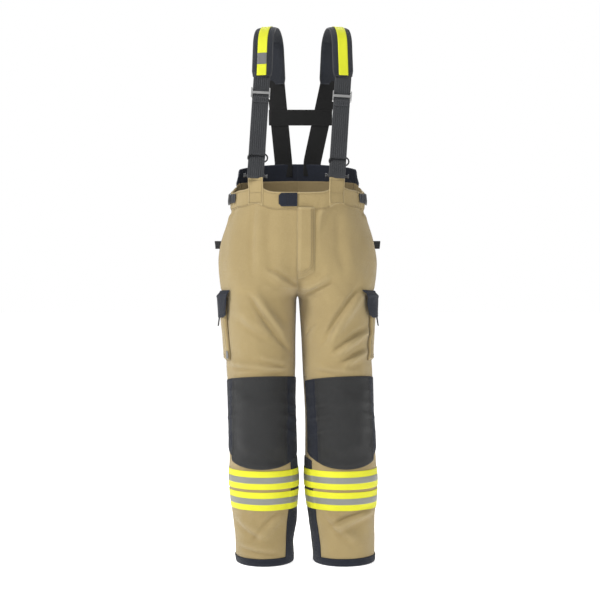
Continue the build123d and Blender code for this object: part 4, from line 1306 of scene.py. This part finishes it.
def makePad(side):
    route = padRoute(brace["radius"], 0.0, 96)
    outward = routeNormals(route)
    run = lengthsAlong(route)
    run = run / run[-1]
    ends = np.minimum(ease(0, 0.05, run), ease(1, 0.95, run))
    section = np.linspace(0, 2 * math.pi, 41)
    verts, uvs = [], []
    for k, (point, out) in enumerate(zip(route, outward)):
        half = brace["wide"] / 2 * (0.90 + 0.10 * ends[k])
        tall = brace["thick"] * (0.45 + 0.50 * ends[k])
        for angle in section:
            c, s = math.cos(angle), math.sin(angle)
            across = half * np.sign(c) * abs(c) ** 0.45
            up = brace["thick"] / 2 + tall / 2 * np.sign(s) * abs(s) ** 0.55
            up -= 0.0012 * (abs(across) / half) ** 3 * (s > 0)   # the cover pulls in at its long edges
            verts.append((point + out * up, across))
            uvs.append((across, run[k] * 0.37))
    flat = np.array([v[0] for v in verts])
    places = inBracePlane(side, flat, np.array([v[1] for v in verts]))
    count, around = len(route), len(section)
    faces = gridFaces(count, around)
    faces.append(tuple(range(around - 1)))
    faces.append(tuple((count - 1) * around + j for j in range(around - 1)))
    pad = meshPiece(f"{side}ShoulderPad", places, faces, uvs, [padCloth])
    settle(pad, 0.0009)
    pad.data.shade_smooth()
    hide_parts(f"{side}_shoulder_pad")
    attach(pad, "trousers")
    # bound edges of the pad
    for edge in (-1, 1):
        edgeRoute = route + outward * (brace["thick"] * 0.42)
        ring = np.linspace(0, 2 * math.pi, 9)
        rows = []
        for k in range(count):
            half = brace["wide"] / 2 * (0.90 + 0.10 * ends[k]) - 0.0006
            rows.append([(edgeRoute[k] + outward[k] * 0.0019 * math.sin(a),
                          edge * half + 0.0017 * math.cos(a)) for a in ring])
        flat = np.array([[p[0] for p in row] for row in rows])
        across = np.array([[p[1] for p in row] for row in rows])
        grid = inBracePlane(side, flat, across)
        faces = gridFaces(count, 9)
        faces += [tuple(range(8)), tuple((count - 1) * 9 + j for j in range(8))]
        piping = meshPiece(f"{side}PadPiping{'Inner' if edge * sides[side] < 0 else 'Outer'}",
                           grid.reshape(-1, 3), faces,
                           gridUv(grid).reshape(-1, 2), [webbing])
        dress(piping, "pad_cover", "trousers")
    # stripe, and on the wearer's right a blank label over it
    stripeRoute = padRoute(brace["radius"] + brace["thick"] + 0.0013, 0.0015, 96)
    stripeOut = routeNormals(stripeRoute)
    across = np.linspace(-brace["stripeWide"] / 2, brace["stripeWide"] / 2, 9)

    def bandOn(name, rows, across, rise, material, slotName):
        flat = (stripeRoute + stripeOut * rise)[rows][:, None].repeat(len(across), 1)
        grid = inBracePlane(side, flat, np.tile(across, (flat.shape[0], 1)))
        ahead = inBracePlane(side, flat + stripeOut[rows][:, None] * 0.01,
                             np.tile(across, (flat.shape[0], 1)))
        piece = clothSheet(name, grid, (ahead - grid) / 0.01, 0.0008, [material])
        dress(piece, slotName, "trousers")
        return piece

    stripe = bandOn(f"{side}PadStripe", slice(0, 96), across, 0.0, padStripe, "lime_tape")
    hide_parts("pad_stripes")
    if side == "right":
        bandOn("padLabel", slice(8, 17), np.linspace(-0.0132, 0.0132, 7), 0.0008, blankLabel,
               "grey_webbing")


for side in sides:
    makePad(side)
print("shoulder pads stuffed")


def makeStraps(side):
    route = padRoute(brace["radius"] + brace["thick"] / 2, 0.0, 96)
    padFront, padBack = inBracePlane(side, route[[0, -1]], np.zeros(2))
    toggleLow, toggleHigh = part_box(f"{side}_brace_toggle")
    toggle = (np.array(toggleLow) + np.array(toggleHigh)) / 2
    linkLow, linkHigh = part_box(f"{side}_brace_link")
    link = (np.array(linkLow) + np.array(linkHigh)) / 2
    run = unit(toggle - padFront)
    link = padFront + run * ((link[2] - padFront[2]) / run[2])
    sliderLow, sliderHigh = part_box(f"{side}_strap_slider")
    slider = padFront + run * (((sliderLow[2] + sliderHigh[2]) / 2 - padFront[2]) / run[2])
    across = unit(np.array([1.0, 0, 0]) - run * run[0])
    forward = np.cross(run, across)
    if forward[1] > 0:
        forward = -forward
    bar = 0.0113
    # front webbing: down behind, round the upper bar, and up in front to the slider
    top = link - run * bar
    path = [padFront - run * 0.012 - forward * 0.001, padFront + run * 0.01, top - run * 0.012
            - forward * 0.0004]
    for angle in np.linspace(-90, 90, 9):
        a = math.radians(angle)
        path.append(top + forward * 0.0034 * math.sin(a) + run * 0.0034 * math.cos(a))
    path += [top - run * 0.012 + forward * 0.0028, slider + run * 0.030 + forward * 0.0028,
             slider - run * 0.002 + forward * 0.0028]
    ribbon(f"{side}FrontStrap", roundedPath(path, 0.004), across, brace["webbing"], 0.0018, webbing,
           "grey_webbing",
           replaces=f"{side}_front_strap")
    # the loose end below the slider
    tail = (roundedPath([slider + run * 0.012 + forward * 0.0052, slider + run * 0.022 + forward * 0.0062,
                         slider + run * 0.0275 + forward * 0.0050], 0.003))
    ribbon(f"{side}StrapTail", tail, across, brace["webbing"] - 0.006, 0.0014, webbing, "grey_webbing")
    # end strap: up behind the upper bar, out over the lower bar, down and round the toggle
    low = link + run * bar
    path = [top - run * 0.013 - forward * 0.0066, top - forward * 0.0074, link - forward * 0.0030,
            low - run * 0.001 + forward * 0.0032,
            low + run * 0.010 + forward * 0.0030, toggle - run * 0.004 + forward * 0.0052]
    for angle in np.linspace(90, -90, 11):
        a = math.radians(angle)
        path.append(toggle + forward * 0.0050 * math.sin(a) + run * 0.0050 * math.cos(a))
    path += [toggle - run * 0.006 - forward * 0.0050, toggle - run * 0.014 - forward * 0.0006]
    ribbon(f"{side}EndStrap", roundedPath(path, 0.003, 0.0015), across, brace["webbing"], 0.0018, webbing,
           "grey_webbing",
           replaces=f"{side}_end_strap")
    width = np.linspace(-0.019, 0.019, 20)
    line = padFront + run * 0.006 + across * width[:, None] + forward * 0.0014
    stitchLine("trousers", line, np.repeat(forward[None], 20, 0), darkThread)
    # back elastic: from inside the pad's end to the outside of the raised band
    backLow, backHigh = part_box(f"{side}_back_strap")
    foot = np.array([(0.042 if side == "left" else -0.041), backHigh[1] - 0.002, backLow[2]])
    over = np.array([foot[0], foot[1], 1.1265])
    down = unit(over - padBack)
    acrossBack = unit(np.array([1.0, 0, 0]) - down * down[0])
    backPath = roundedPath([padBack - down * 0.012, padBack + down * 0.01, over, foot], 0.012, 0.004)
    ribbon(f"{side}BackStrap", backPath, acrossBack, brace["elastic"], 0.0018, elastic, "black_elastic",
           replaces=f"{side}_back_strap")
    return padBack, down


backLines = {side: makeStraps(side) for side in sides}


def makeCross():
    low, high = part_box("cross_strap")
    middle = (np.array(low) + np.array(high)) / 2
    ends = []
    for side in ("right", "left"):
        padBack, down = backLines[side]
        ends.append(padBack + down * ((middle[2] - padBack[2]) / down[2]))
    down = backLines["right"][1] + backLines["left"][1]
    down[0] = 0
    down = unit(down)
    out = np.array([0, -down[2], down[1]])
    out = out if out[1] > 0 else -out
    wide = np.array([1.0, 0, 0])
    a, b = ends
    # a flat tube of elastic round both straps
    near, far = 0.0026, 0.0046
    loop = [a - wide * 0.026 + out * far, b + wide * 0.026 + out * far, b + wide * 0.030 + out * 0.001,
            b + wide * 0.026 - out * near,
            a - wide * 0.026 - out * near, a - wide * 0.030 + out * 0.001, a - wide * 0.026 + out * far]
    path = roundedPath(loop, 0.003, 0.004)
    ribbon("crossStrap", path, down, 0.044, 0.0014, elastic, "black_elastic", replaces="cross_strap")


makeCross()
print("braces hung")


# hardware that keeps the shape it was made in
for name, mat in (("right_brace_link", blackSteel), ("left_brace_link", blackSteel),
                  ("right_brace_toggle", blackSteel),
                  ("left_brace_toggle", blackSteel), ("right_strap_slider", brightSteel),
                  ("left_strap_slider", brightSteel),
                  ("zip", zipTape), ("zip_slider", brightSteel)):
    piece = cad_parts[name]
    for holder in piece.material_slots:
        holder.material = mat
    if not piece.material_slots:
        piece.data.materials.append(mat)

sewAll()
print("stitches sewn")
